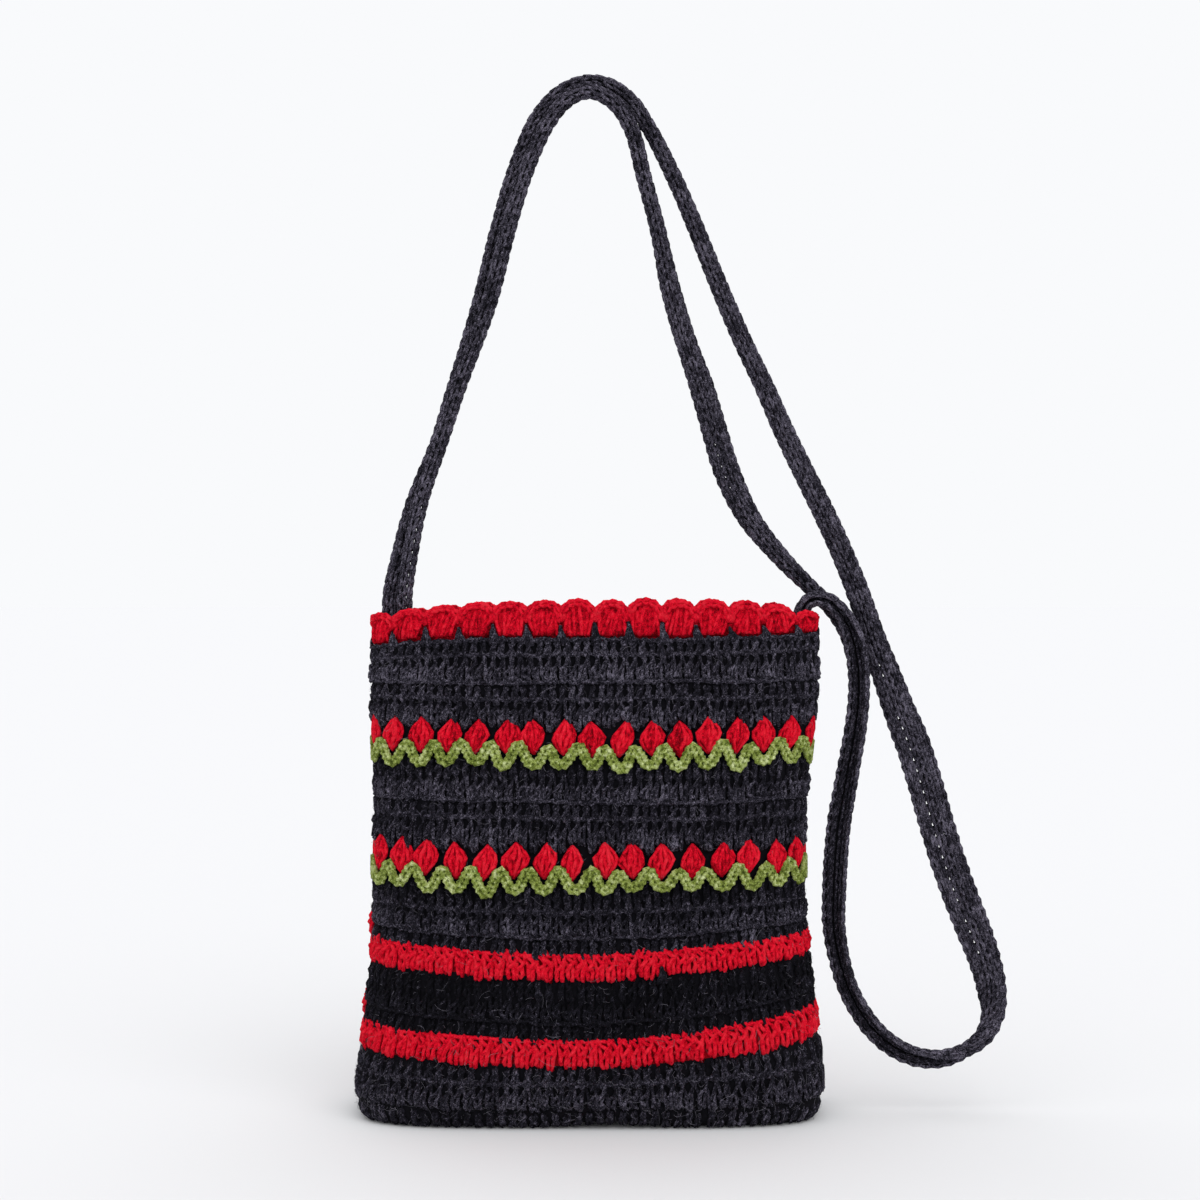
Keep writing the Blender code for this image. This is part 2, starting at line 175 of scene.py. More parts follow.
# Lines of loops between rounds, as rows of the bottom of the round, how far up from it, and how far out.
LOOP_LINES = (
    (8.2, 11.9, 0.1),
    (45.6, 0.7, 0.5),
    (83.2, 0.7, 0.5),
    (83.2, 11.7, 0.1),
    (123.3, 11.9, 0.1),
    (141.9, 0.7, 0.5),
    (175.0, 12.3, 0.1),
    (194.2, 0.7, 0.5),
    (194.2, 12.8, 0.1),
    (207.6, 5.9, 0.4),
)

# Where a red round ends, its last stitches lap over the next round, because the rounds are one spiral.
SEAM_STITCHES = 3
SEAM_LAP, SEAM_OUT = 0.6, 0.7
# A ring of wool fills each red round behind the heads of its stitches, this far up from its bottom.
HEAD_RING_UP = 11.2
# The one long stitch: the bottom of its round, its place round the bag, its foot and its reach.
LONG_STITCH_ROUND, LONG_STITCH_FRACTION = 58.0, 0.32
LONG_STITCH_FOOT, LONG_STITCH_REACH = 62.0, 7.5

# The ground behind the stitches: for each kind of round, rows of up from its bottom and out. Behind a
# row of tulips, which starts over one of two rounds, it lies deepest.
GROUND_UNDER = {"tall": ((0.9, -0.4), (11.0, -0.4)), "short": ((0.6, -0.4), (4.6, -0.5), (5.9, -0.6))}
GROUND_OUT = -0.9
UNDER_TULIPS, BEHIND_TULIPS = (100.6, 154.1), 19.0
RED_LEVELS = ((27.8, 38.0), (65.2, 75.4))
CLOTH_PLACES = 136
GROUND_STEP, INSIDE_STEP = 1.85, 2.35
INSIDE_ROUND = 6.2

# The tulip rows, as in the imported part: the height of the leaves' tips, and the first one's shift.
TULIPS = 34
TULIP_ROWS = (("upper", 156.0, 0.0), ("lower", 102.0, 0.5))
PETAL_FOOT, PETAL_TIP = 6.8, 22.4
PETAL_HALF_WIDTH = 0.435
PETAL_STRANDS = 7
PETAL_STEPS = 8
DIP_GAP, DIP_MIDDLE = 17.4, 22.6
LEAF_GAP, LEAF_MIDDLE = 10.6, 2.6
LEAF_LINKS = 10
LEAF_HALF_WIDTH = 1.45
SIDE_FLATTEN = 0.65

# The scalloped edging, and the rope over one scallop as rows of (across, up, out).
SCALLOPS = 28
SCALLOP_PITCH = 15.2
EDGE_BOTTOM = RIM_HEIGHT + 0.3
EDGE_NOTCH, EDGE_CROWN = 9.1, 5.8
FAN_STRANDS = 7
FAN_STEPS = 7
ARCH_LINKS = 7
ROPE_HALF_WIDTH, ROPE_TOP = 1.05, 17
SPIKE_HEIGHT = 6.2
ARCH_ROPE = (
    (-7.0, 8.0, -1.2),
    (-7.0, 11.2, 0.3),
    (-5.5, 14.2, 0.8),
    (-3.0, 15.8, 0.8),
    (0.0, 16.2, 0.6),
    (3.0, 15.7, 0.3),
    (5.4, 13.9, 0.2),
    (7.0, 11.0, 0.2),
    (7.8, 8.2, -0.6),
)

# One leg of a link of a chain of stitches, as rows of (along, across, out, radius): along is a share
# of the link's length, across of its half width, and radius of the strand's.
LINK_LEG = (
    (-0.12, 0.15, -0.5, 0.75),
    (0.1, 0.45, 0.45, 1.0),
    (0.55, 1.0, 0.5, 1.05),
    (1.0, 0.72, 0.0, 0.95),
    (1.25, 0.3, -0.6, 0.7),
)

# --- the strap, in millimetres and degrees ------------------------------------------------------------

# A crocheted band in two runs, as rows of (x, y, z, width, curl, turn): it is curled lengthwise by an
# angle and turned about its run.
WIDTH, CURL, TURN = 3, 4, 5
LONG_RUN = (
    (-93.4, 0.0, 207.0, 13.3, 325, 0),
    (-93.3, 0.3, 222.0, 13.3, 325, 0),
    (-93.1, 1.4, 234.0, 13.3, 325, 0),
    (-90.2, 2.6, 248.0, 13.3, 325, 10),
    (-82.7, 3.2, 276.0, 13.3, 325, 20),
    (-71.7, 3.6, 303.5, 13.3, 320, 20),
    (-65.2, 3.6, 324.5, 13.3, 315, 20),
    (-52.2, 3.2, 368.0, 13.3, 315, 10),
    (-44.4, 2.9, 400.0, 13.3, 320, 0),
    (-34.6, 2.5, 432.5, 13.3, 325, 0),
    (-26.2, 2.5, 451.2, 13.3, 325, 0),
    (-17.2, 2.5, 461.6, 13.3, 325, 0),
    (-8.8, 2.5, 466.2, 13.3, 325, 0),
    (-1.0, 2.4, 467.4, 13.3, 325, 0),
    (7.4, 2.2, 465.4, 13.3, 325, 0),
    (16.4, 1.8, 458.6, 13.3, 325, 0),
    (24.4, 1.2, 446.5, 13.3, 325, 0),
    (35.5, 0.4, 424.5, 13.3, 315, 10),
    (46.0, 0.0, 400.0, 13.3, 290, 20),
    (55.5, 0.0, 376.0, 13.3, 265, 20),
    (67.5, 0.0, 348.0, 13.3, 245, 20),
    (77.0, 0.0, 328.0, 13.3, 235, 20),
    (85.5, 0.5, 308.5, 13.3, 220, 20),
    (95.0, 1.2, 289.0, 13.3, 210, 20),
    (105.0, 2.2, 269.0, 13.3, 200, 20),
    (114.0, 3.6, 249.5, 13.3, 195, 15),
    (121.5, 4.8, 231.5, 13.3, 188, 5),
    (127.5, 5.2, 213.5, 13.6, 165, 0),
    (133.0, 4.6, 198.0, 14.0, 125, 0),
    (138.5, 3.6, 182.5, 14.6, 90, 0),
    (144.5, 2.4, 167.0, 15.0, 50, 0),
    (149.5, 1.5, 151.0, 15.0, 40, 0),
    (155.5, 0.8, 129.5, 15.0, 32, 0),
    (159.5, 0.4, 116.0, 15.0, 30, 0),
    (165.0, 0.0, 100.0, 15.0, 32, 0),
    (171.0, 0.0, 84.5, 15.0, 40, 0),
    (177.0, 0.0, 68.5, 14.6, 80, 0),
    (180.4, 0.0, 53.0, 14.0, 130, 15),
    (180.0, 0.0, 42.5, 13.6, 170, 45),
    (175.8, 0.0, 32.8, 13.3, 195, 80),
    (167.2, 0.0, 26.0, 13.3, 210, 110),
    (156.0, 0.0, 23.2, 13.3, 210, 135),
    (146.4, 0.0, 24.2, 13.3, 210, 145),
    (136.8, -0.3, 28.4, 13.3, 210, 150),
    (127.2, -0.6, 36.4, 13.3, 210, 150),
    (120.2, -0.9, 46.0, 13.3, 215, 148),
    (115.4, -1.2, 55.4, 13.3, 215, 145),
    (111.4, -1.6, 68.8, 13.3, 200, 145),
    (108.9, -2.0, 84.5, 13.3, 170, 145),
    (109.0, -2.4, 100.0, 13.4, 155, 145),
    (109.8, -2.8, 116.0, 13.4, 150, 145),
    (111.0, -3.1, 129.5, 13.4, 155, 145),
    (113.2, -3.4, 143.0, 13.3, 165, 145),
    (116.0, -3.8, 159.0, 13.3, 180, 145),
    (118.6, -4.2, 174.5, 13.3, 195, 145),
    (120.0, -4.5, 190.5, 13.3, 205, 145),
    (119.2, -4.6, 205.0, 13.3, 195, 148),
    (116.2, -4.2, 217.5, 13.3, 230, 155),
    (111.0, -3.2, 226.5, 13.3, 290, 165),
    (104.4, -2.2, 231.7, 13.3, 320, 175),
    (97.4, -1.0, 231.2, 13.3, 325, 180),
    (93.0, -0.2, 224.0, 13.3, 325, 180),
    (92.9, 0.0, 208.0, 13.3, 325, 180),
)
SHORT_RUN = (
    (-86.4, 0.0, 207.0, 13.3, 325, -20),
    (-86.3, -0.3, 222.0, 13.3, 325, -20),
    (-86.3, -1.6, 234.0, 13.3, 325, -20),
    (-84.3, -2.8, 248.0, 13.3, 325, -20),
    (-78.8, -3.4, 276.0, 13.3, 325, -15),
    (-69.8, -3.7, 303.5, 13.3, 315, -15),
    (-63.0, -3.7, 324.5, 13.3, 310, -15),
    (-47.4, -3.4, 368.0, 13.3, 305, -10),
    (-39.2, -2.8, 400.0, 13.3, 310, -10),
    (-28.6, -2.4, 432.5, 13.3, 325, 0),
    (-21.4, -2.3, 447.6, 13.3, 325, 0),
    (-14.2, -2.3, 456.8, 13.3, 325, 0),
    (-7.8, -2.3, 461.0, 13.3, 325, 0),
    (-1.5, -2.3, 462.0, 13.3, 325, 0),
    (5.0, -2.2, 459.6, 13.3, 325, 0),
    (10.8, -1.9, 454.8, 13.3, 325, 0),
    (15.8, -1.4, 446.8, 13.3, 325, 0),
    (22.0, -0.6, 424.5, 13.3, 325, 0),
    (28.5, 0.0, 400.0, 13.3, 315, 5),
    (34.0, 0.0, 374.0, 13.3, 230, 10),
    (41.5, 0.0, 348.0, 13.3, 210, 10),
    (48.6, 0.0, 328.0, 13.3, 175, 5),
    (54.4, 0.0, 308.5, 13.3, 160, 0),
    (60.4, 0.2, 289.0, 13.3, 150, 0),
    (70.2, 0.8, 269.0, 13.3, 190, 0),
    (86.0, 2.4, 249.5, 13.3, 265, 0),
    (97.0, 4.8, 238.6, 13.3, 315, 0),
    (104.6, 5.6, 231.4, 13.3, 325, 0),
    (111.0, 5.4, 223.6, 13.3, 325, 0),
    (116.0, 5.0, 214.0, 13.3, 325, 0),
    (118.6, 4.6, 204.0, 13.3, 325, 0),
)
ROW_PITCH = 5.1
BAND_WIDTH = 13.2
# The chains along the band, as rows of (across as a share of the width, half width, out).
BAND_CHAINS = (
    (-0.42, 1.0, 0.15),
    (-0.24, 0.8, 0.1),
    (0.0, 1.15, 0.15),
    (0.235, 0.9, 0.1),
    (0.42, 1.0, 0.15),
)
OUTER_CHAIN = 0.4
OPEN_ROWS = 14  # rows of the short run whose hollow is left open, so that its holes are seen through
HOLLOW_ACROSS = (-0.36, -0.26, 0.0, 0.26)
# The ground's lanes, as shares of the width, of which the two narrow ones may have holes. A hole runs
# from the one to the other share of a row.
LANES = (-0.46, -0.3, -0.15, -0.09, 0.07, 0.13, 0.3, 0.46)
HOLE_START, HOLE_END = -0.06, 0.2
# Where holes show, as rows of (run, from, to, lane, share of the rows that have one).
HOLES = (
    ("strap_long", 585, 612, 2, 0.5),
    ("strap_long", 612, 690, 2, 0.9),
    ("strap_long", 690, 730, 2, 0.5),
    ("strap_long", 668, 715, 4, 0.6),
    ("strap_short", 14, 70, 2, 1.0),
    ("strap_short", 448, 474, 2, 1.0),
)


# --- shapes -------------------------------------------------------------------------------------------


def column(table, names, name):
    """One named column of a table as an array."""
    return np.array([row[names.index(name)] for row in table], float)


def smooth_curve(knots, values, at):
    """Values at `at` on a cubic through the knots, whose slope at each is that of its two neighbours."""
    slopes = np.gradient(values, knots, axis=0)
    at = np.clip(at, knots[0], knots[-1])
    i = np.clip(np.searchsorted(knots, at, side="right") - 1, 0, len(knots) - 2)
    span = knots[i + 1] - knots[i]
    t = (at - knots[i]) / span
    if values.ndim > 1:
        t, span = t[..., None], span[..., None]
    start = (2 * t**3 - 3 * t**2 + 1) * values[i] + (t**3 - 2 * t**2 + t) * span * slopes[i]
    end = (3 * t**2 - 2 * t**3) * values[i + 1] + (t**3 - t**2) * span * slopes[i + 1]
    return start + end


def at_height(table, names, name, height):
    """One named column of a table with a height column, read on its smooth curve at these heights."""
    return smooth_curve(column(table, names, "height"), column(table, names, name), height)


def wall_grid():
    """The wall at even heights and even fractions of its way round: x, y, z and the outward x, y.

    Each section is a rounded box, |x/a|^s + |y/b|^s = 1, drawn by an angle and read again at even
    fractions of its length. It is pushed out by a sum of soft round swells, and each height is lifted
    by its side's own lift times a power of the distance across."""
    heights = np.arange(0, GRID_TOP, GRID_STEP)[:, None]
    left, right, half_depth, squareness = (
        at_height(SECTIONS, SECTION_COLUMNS, name, heights) for name in SECTION_COLUMNS[1:]
    )
    angle = np.pi + np.linspace(0, 2 * np.pi, 1441)
    x = np.sign(np.cos(angle)) * np.abs(np.cos(angle)) ** (2 / squareness)
    y = np.sign(np.sin(angle)) * np.abs(np.sin(angle)) ** (2 / squareness)
    x, y = (left + right) / 2 * x + (right - left) / 2, half_depth * y
    steps = np.hypot(np.diff(x, axis=1), np.diff(y, axis=1))
    along = np.concatenate([np.zeros_like(heights), np.cumsum(steps, axis=1)], axis=1)
    fraction = np.arange(GRID_FRACTIONS) / GRID_FRACTIONS
    rows = zip(along / along[:, -1:], x, y)
    even = [(np.interp(fraction, way, px), np.interp(fraction, way, py)) for way, px, py in rows]
    x, y = np.array(even).swapaxes(0, 1)
    along_x, along_y = (np.roll(axis, -1, axis=1) - np.roll(axis, 1, axis=1) for axis in (x, y))
    size = np.hypot(along_x, along_y)
    out_x, out_y = along_y / size, -along_x / size
    swell = np.zeros_like(x)
    for centre, level, spread_round, spread_up, out in SWELLS:
        distance = (fraction - centre + 0.5) % 1 - 0.5
        swell += out * np.exp(-((distance / spread_round) ** 2) - ((heights - level) / spread_up) ** 2)
    x, y = x + swell * out_x, y + swell * out_y
    left, left_power, right, right_power = (
        at_height(LIFTS, LIFT_COLUMNS, name, heights) for name in LIFT_COLUMNS[1:]
    )
    across = np.abs(x) / column(SECTIONS, SECTION_COLUMNS, "right").max()
    z = heights + np.where(x < 0, left * across**left_power, right * across**right_power)
    return np.stack([x, y, z, out_x, out_y], axis=-1)


WALL_GRID = wall_grid()


def on_wall(fraction, height, out=0.0):
    """Points `out` outside the wall, each read between the four nearest points of the grid."""
    fraction, height, out = np.broadcast_arrays(np.asarray(fraction, float), height, out)
    across = fraction % 1 * GRID_FRACTIONS
    up = np.clip(height / GRID_STEP, 0, len(WALL_GRID) - 1.001)
    i, j = up.astype(int), across.astype(int) % GRID_FRACTIONS
    next_j = (j + 1) % GRID_FRACTIONS
    s, t = (up - i)[..., None], (across - across.astype(int))[..., None]
    low = WALL_GRID[i, j] * (1 - t) + WALL_GRID[i, next_j] * t
    high = WALL_GRID[i + 1, j] * (1 - t) + WALL_GRID[i + 1, next_j] * t
    here = low * (1 - s) + high * s
    points = here[..., :3].copy()
    points[..., :2] += out[..., None] * here[..., 3:]
    return points


def on_cloth(fraction, level, out):
    """Points `out` outside the cloth. Above the foot's round a level is a height on the wall. Below it,
    the level goes on down the quarter circle of the foot and then straight in under the base. The low
    front edge is arched up by FRONT_ARCH exp(-((x - FRONT_ARCH_X) / FRONT_ARCH_SPREAD)^2), less the
    higher the level is."""
    fraction, level, out = np.broadcast_arrays(np.asarray(fraction, float), level, out)
    turn = np.clip((level - FOOT_END) / FOOT_ROUND, 0, np.pi / 2)
    height = np.where(level > FOOT_ROUND, level, FOOT_ROUND * (1 - np.cos(turn)))
    under = np.maximum(FOOT_END - level, 0)
    points = on_wall(fraction, height, (FOOT_ROUND + out) * np.sin(turn) - FOOT_ROUND - under)
    points[..., 2] -= out * np.cos(turn)
    low_front = np.exp(-(((points[..., 0] - FRONT_ARCH_X) / FRONT_ARCH_SPREAD) ** 2)) * (points[..., 1] < 0)
    points[..., 2] += FRONT_ARCH * low_front * np.clip(1 - level / FRONT_ARCH_REACH, 0, 1)
    return points


def fold_share(fraction):
    """1 where the pouch folds round at its two sides, and quickly down to 0 on its front and back:
    |cos(2 pi fraction)|^12."""
    return np.abs(np.cos(2 * np.pi * fraction)) ** 12


def unevenness(fraction, height):
    """How far hand work strays up or down: a wave of 0.35 mm that turns three times round the bag and
    one of 0.22 mm that turns eight times, both drifting with height."""
    slow = 0.35 * np.sin(2 * np.pi * 3 * fraction + height / 13)
    quick = 0.22 * np.sin(2 * np.pi * 8 * fraction - height / 7)
    return slow + quick


def tulip_share(fraction, shift):
    """How far each place is from a gap between two petals (0) to the middle of one (1), a zigzag:
    1 - |2p - 1|, with p the share of the way from one gap to the next."""
    place = np.asarray(fraction) * TULIPS - shift
    return 1 - np.abs(2 * (place % 1) - 1)


# --- strands and meshes -------------------------------------------------------------------------------


def strands(centres, facing, radius, sides, tone, closed=False):
    """Round strands along many centre lines at once. centres: (strands, points, 3).

    Each ring stands across its line: centre + radius (cos a side + sin a top), where side is the line's
    direction crossed with `facing`, and top is square to both. An open strand ends in a point."""
    count, points = centres.shape[:2]
    radius = np.broadcast_to(np.asarray(radius, float), (count, points))
    if closed:
        along = np.roll(centres, -1, axis=1) - np.roll(centres, 1, axis=1)
    else:
        along = np.gradient(centres, axis=1)
    along /= np.linalg.norm(along, axis=2, keepdims=True)
    side = np.cross(along, facing)
    side /= np.linalg.norm(side, axis=2, keepdims=True)
    top = np.cross(side, along)
    angle = 2 * np.pi * np.arange(sides) / sides
    ring = np.cos(angle)[:, None] * side[:, :, None] + np.sin(angle)[:, None] * top[:, :, None]
    rings = centres[:, :, None] + radius[:, :, None, None] * ring
    first = centres[:, 0] - along[:, 0] * radius[:, :1] * 0.7
    last = centres[:, -1] + along[:, -1] * radius[:, -1:] * 0.7
    return sleeves(rings, first, last, tone, closed)


def sleeves(rings, first, last, tone, closed=False):
    """Faces round many lots of rings at once, each lot closed by a point at both ends or end to end.

    The map runs along in millimetres and round in turns. rings: (lots, rings, places, 3)."""
    count, points, sides = rings.shape[:3]
    centres = rings.mean(axis=2)
    steps = np.linalg.norm(np.diff(centres, axis=1, append=centres[:, :1]), axis=2)
    way = np.concatenate([np.zeros((count, 1)), np.cumsum(steps, axis=1)], axis=1)
    row = np.arange(points if closed else points - 1)
    place = np.arange(sides)
    start = (np.arange(count) * (points * sides + 2))[:, None, None]
    here = start + row[:, None] * sides
    there = start + ((row + 1) % points)[:, None] * sides
    beside = (place + 1) % sides
    quads = np.stack([here + place, here + beside, there + beside, there + place], axis=-1)
    run = np.stack([way[:, row], way[:, row], way[:, row + 1], way[:, row + 1]], axis=-1)[:, :, None]
    turn = np.stack([place, place + 1, place + 1, place], axis=-1) / sides
    quad_map = np.stack(np.broadcast_arrays(run, turn), axis=-1)
    ends = np.stack([first, last], axis=1)
    triangles = np.empty((0, 3), int)
    if not closed:
        root, final = start[..., 0], start[..., 0] + (points - 1) * sides
        pole = root + points * sides
        at_first = np.stack(np.broadcast_arrays(root + beside, root + place, pole), axis=-1)
        at_last = np.stack(np.broadcast_arrays(final + place, final + beside, pole + 1), axis=-1)
        triangles = np.concatenate([at_first, at_last]).reshape(-1, 3)
    tone = np.asarray(tone, float)
    tone = np.broadcast_to(tone if tone.ndim == 2 else tone.reshape(-1, 1), (count, points))
    tones = np.concatenate([np.repeat(tone, sides, axis=1), tone[:, :1], tone[:, -1:]], axis=1)
    return {
        "vertices": np.concatenate([rings.reshape(count, -1, 3), ends], axis=1).reshape(-1, 3),
        "quads": quads.reshape(-1, 4),
        "triangles": triangles,
        "quad_map": quad_map.reshape(-1, 4, 2),
        "tones": tones.ravel(),
    }


def grid_surface(points, closes_up=False, tone=0.0, map_size=(1.0, 1.0)):
    """Faces over a grid of points, rows up and places all the way round, whose map is the numbers of its
    place and row, times map_size."""
    rows, places = points.shape[:2]
    row = np.arange(rows if closes_up else rows - 1)[:, None]
    place = np.arange(places)
    here, above = row * places, (row + 1) % rows * places
    beside = (place + 1) % places
    quads = np.stack([here + place, here + beside, above + beside, above + place], axis=-1)
    across, up = np.broadcast_arrays(place, row)
    corners = [(across, up), (across + 1, up), (across + 1, up + 1), (across, up + 1)]
    quad_map = np.stack([np.stack(corner, axis=-1) for corner in corners], axis=2) * np.array(map_size)
    return {
        "vertices": points.reshape(-1, 3),
        "quads": quads.reshape(-1, 4),
        "triangles": np.empty((0, 3), int),
        "quad_map": quad_map.reshape(-1, 4, 2).astype(float),
        "tones": np.broadcast_to(np.asarray(tone, float), (rows, places)).ravel(),
    }


def with_caps(surface, places, rows):
    """The surface with its first and last rings closed, each by faces from its front to its back."""
    i = np.arange(1, places // 2 - 1)
    first = np.stack([i, places - i, places - i - 1, i + 1], axis=1)
    last = first[:, ::-1] + (rows - 1) * places
    middle = places // 2
    ends = np.array([(0, places - 1, 1), (middle - 1, middle + 1, middle)])
    surface["quads"] = np.concatenate([surface["quads"], first, last])
    surface["quad_map"] = np.concatenate([surface["quad_map"], np.zeros((2 * len(i), 4, 2))])
    surface["triangles"] = np.concatenate([ends, ends[:, ::-1] + (rows - 1) * places])
    return surface


def joined(parts):
    """Several lots of faces as one."""
    starts = np.cumsum([0] + [len(part["vertices"]) for part in parts[:-1]])
    shared = ("vertices", "quad_map", "tones")
    whole = {name: np.concatenate([part[name] for part in parts]) for name in shared}
    for name in ("quads", "triangles"):
        whole[name] = np.concatenate([part[name] + start for part, start in zip(parts, starts)])
    return whole


def piece(name, parts, materials, face_material=None):
    """A smooth mesh object of millimetre faces, kept on or above the table, that rides on the root body."""
    whole = joined(parts)
    points = whole["vertices"] * MM
    points[:, 2] = np.maximum(points[:, 2], 0.0)
    quads, triangles = whole["quads"], whole["triangles"]
    mesh = bpy.data.meshes.new(name)
    mesh.vertices.add(len(points))
    mesh.vertices.foreach_set("co", points.astype(np.float32).ravel())
    corners = np.concatenate([quads.ravel(), triangles.ravel()]).astype(np.int32)
    mesh.loops.add(len(corners))
    mesh.loops.foreach_set("vertex_index", corners)
    starts = np.concatenate([np.arange(len(quads)) * 4, len(quads) * 4 + np.arange(len(triangles)) * 3])
    mesh.polygons.add(len(starts))
    mesh.polygons.foreach_set("loop_start", starts.astype(np.int32))
    if face_material is not None:
        mesh.polygons.foreach_set("material_index", face_material(whole).astype(np.int32))
    mesh.update(calc_edges=True)
    mesh.validate()
    flat_map = np.zeros((len(corners), 2), np.float32)
    flat_map[: len(quads) * 4] = whole["quad_map"].reshape(-1, 2)
    mesh.uv_layers.new(name="yarn").uv.foreach_set("vector", flat_map.ravel())
    tones = mesh.attributes.new("tone", "FLOAT", "POINT")
    tones.data.foreach_set("value", whole["tones"].astype(np.float32))
    mesh.shade_smooth()
    for material in materials:
        mesh.materials.append(material)
    made = bpy.data.objects.new(name, mesh)
    bpy.context.scene.collection.objects.link(made)
    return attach(made, "root")


def cloth_strands(fraction, level, out, radius, tone, sides=6, closed=False):
    """Strands on the cloth, each ring set square to the cloth's outward direction."""
    centres = on_cloth(fraction, level, out)
    facing = on_cloth(fraction, level, np.asarray(out) + 1.0) - centres
    return strands(centres, facing, radius, sides, tone, closed)


def cloth_ring(fraction, level, out, radius, tone, sides=6):
    """One closed strand that goes all the way round the bag."""
    lines = [np.broadcast_to(line, fraction.shape)[None] for line in (fraction, level, out)]
    return cloth_strands(*lines, radius, tone, sides, closed=True)


def one_a_strand(grid, places):
    """A grid repeated to the shape of `places`, as one row for each strand."""
    return np.broadcast_to(grid, places.shape).reshape(-1, places.shape[-1])


def pillows(fraction, level, front, back, tone):
    """Closed lenses on the cloth, one for each lot, of rings that go across in front and back behind."""
    across = np.concatenate([fraction, fraction[..., -2:0:-1]], axis=-1)
    height = np.concatenate([level, level[..., -2:0:-1]], axis=-1)
    out = np.concatenate([front, np.broadcast_to(back, front.shape)[..., -2:0:-1]], axis=-1)
    rings = on_cloth(across, height, out)[..., ::-1, :]
    ends = [rings[:, end].mean(axis=1) for end in (0, -1)]
    return sleeves(rings, *ends, tone)


def chain_links(count, chance):
    """The two legs of each link of a chain: shares along, across and out, and of the strand's radius.

    Link n starts at n along, opens to its full half width at 0.55 and closes again under the next one."""
    leg = np.array(LINK_LEG)
    legs = np.stack([leg, leg * (1, -1, 1, 1)])
    links = np.broadcast_to(legs, (count,) + legs.shape).copy()
    links[..., 0] += np.arange(count)[:, None, None]
    links[..., :3] += chance.normal(0, (0.03, 0.05, 0.05), links[..., :3].shape)
    return links.reshape(count * 2, len(leg), 4)


# --- the pouch's rounds -------------------------------------------------------------------------------


def round_of_stitches(kind, bottom, dye, paleness_and_shade, over_petals, chance, stitches=None, out_more=0.0):
    """One round: every stitch's strands, drawn from the tables above and moved a little by hand.

    A leg is drawn twice, the second time mirrored and, in a short stitch, under the first. Every pair
    of rounds starts 0.37 of a stitch further on. Over a row of petals the round's lower edge is a
    zigzag between the petals' tips and gaps, and each stitch is squeezed evenly between that and its
    top."""
    height = TALL if kind == "tall" else SHORT
    paths = [TALL_LEG, TALL_LEG, TALL_WRAP, TALL_CROSS[dye]] if kind == "tall" else [SHORT_LEG, SHORT_LEG]
    paths = [np.array(path) for path in paths]
    paths[1] = paths[1] * (-1, 1, 1, 1) - (0, 0, 0.4 if kind == "short" else 0, 0)
    numbers = np.arange(STITCHES) if stitches is None else stitches
    middle = (numbers + 0.5 + 0.37 * np.floor(bottom / (TALL + SHORT))) / STITCHES
    shift = chance.normal(0, (0.08, 0.35, 0.22), (len(numbers), 3))
    # A short round's paleness from ROUNDS is lowered as painted shade.
    tone = paleness_and_shade + chance.normal(0, 0.035, len(numbers)) + 0.03 * np.sin(2 * np.pi * 5 * middle + bottom)
    found = []
    for path in paths:
        across, up, out, radius = path.T
        stray = chance.normal(0, (0.06, 0.4, 0.2), (len(numbers), len(path), 3))
        fraction = middle[:, None] + (across + shift[:, :1] + stray[..., 0]) / STITCHES
        level = up + shift[:, 1:2] + stray[..., 1]
        if over_petals is not None:
            base, row_shift = next((base, start) for row, base, start in TULIP_ROWS if row == over_petals)
            low = base + DIP_GAP + (DIP_MIDDLE - DIP_GAP) * tulip_share(fraction, row_shift) ** 1.6
            level = low + level * (bottom + height - low) / height
        else:
            level = bottom + level
        level = level + unevenness(fraction, level)
        out = out + shift[:, 2:] + stray[..., 2] + out_more
        if bottom < FOOT_ROUND:
            out = np.minimum(out, 0.2)
        size = THICKNESS[dye] * radius * chance.normal(1, 0.09, (len(numbers), len(path)))
        # Painted shade in the slots of a tall charcoal stitch and painted light at its foot go into the
        # strand's tone.
        tone_and_painted_shade = (tone + chance.normal(0, 0.05, len(numbers)))[:, None] + painted_shade_and_light(up, kind, dye)
        found.append(cloth_strands(fraction, level, out, size, tone_and_painted_shade, sides=5))
    return found


def painted_shade_and_light(up, kind, dye):
    """Painted shade and light at each height of a stitch: a charcoal tall one is painted darker in the
    slots between its posts, as shade, by -0.09 exp(-((up - 9.2) / 1.7)^2), and painted paler where its
    foot is wrapped, as light on that bulge, by 0.04 exp(-((up - 3.2) / 2.4)^2)."""
    if kind == "short" or dye == "red":
        return np.zeros_like(up)
    return 0.04 * np.exp(-(((up - 3.2) / 2.4) ** 2)) - 0.09 * np.exp(-(((up - 9.2) / 1.7) ** 2))


def line_of_loops(level, middle_out, paleness_and_shade, chance):
    """A line of loops round the bag: two strands that wind round each other once a stitch.

    They are level + 0.55 sin a up and middle + 0.6 cos a out, where a turns once a stitch, and the two
    are half a turn apart."""
    ring = np.arange(STITCHES * 3) / (STITCHES * 3)
    found = []
    for start in (0.0, np.pi):
        angle = 2 * np.pi * STITCHES * ring + start
        up = level + unevenness(ring, level) + 0.55 * np.sin(angle) + chance.normal(0, 0.4, len(ring))
        out = middle_out + 0.6 * np.cos(angle) + chance.normal(0, 0.2, len(ring))
        size = chance.normal(0.85, 0.12, (1, len(ring)))
        found.append(cloth_ring(ring, up, out, size, paleness_and_shade, sides=5))
    return found


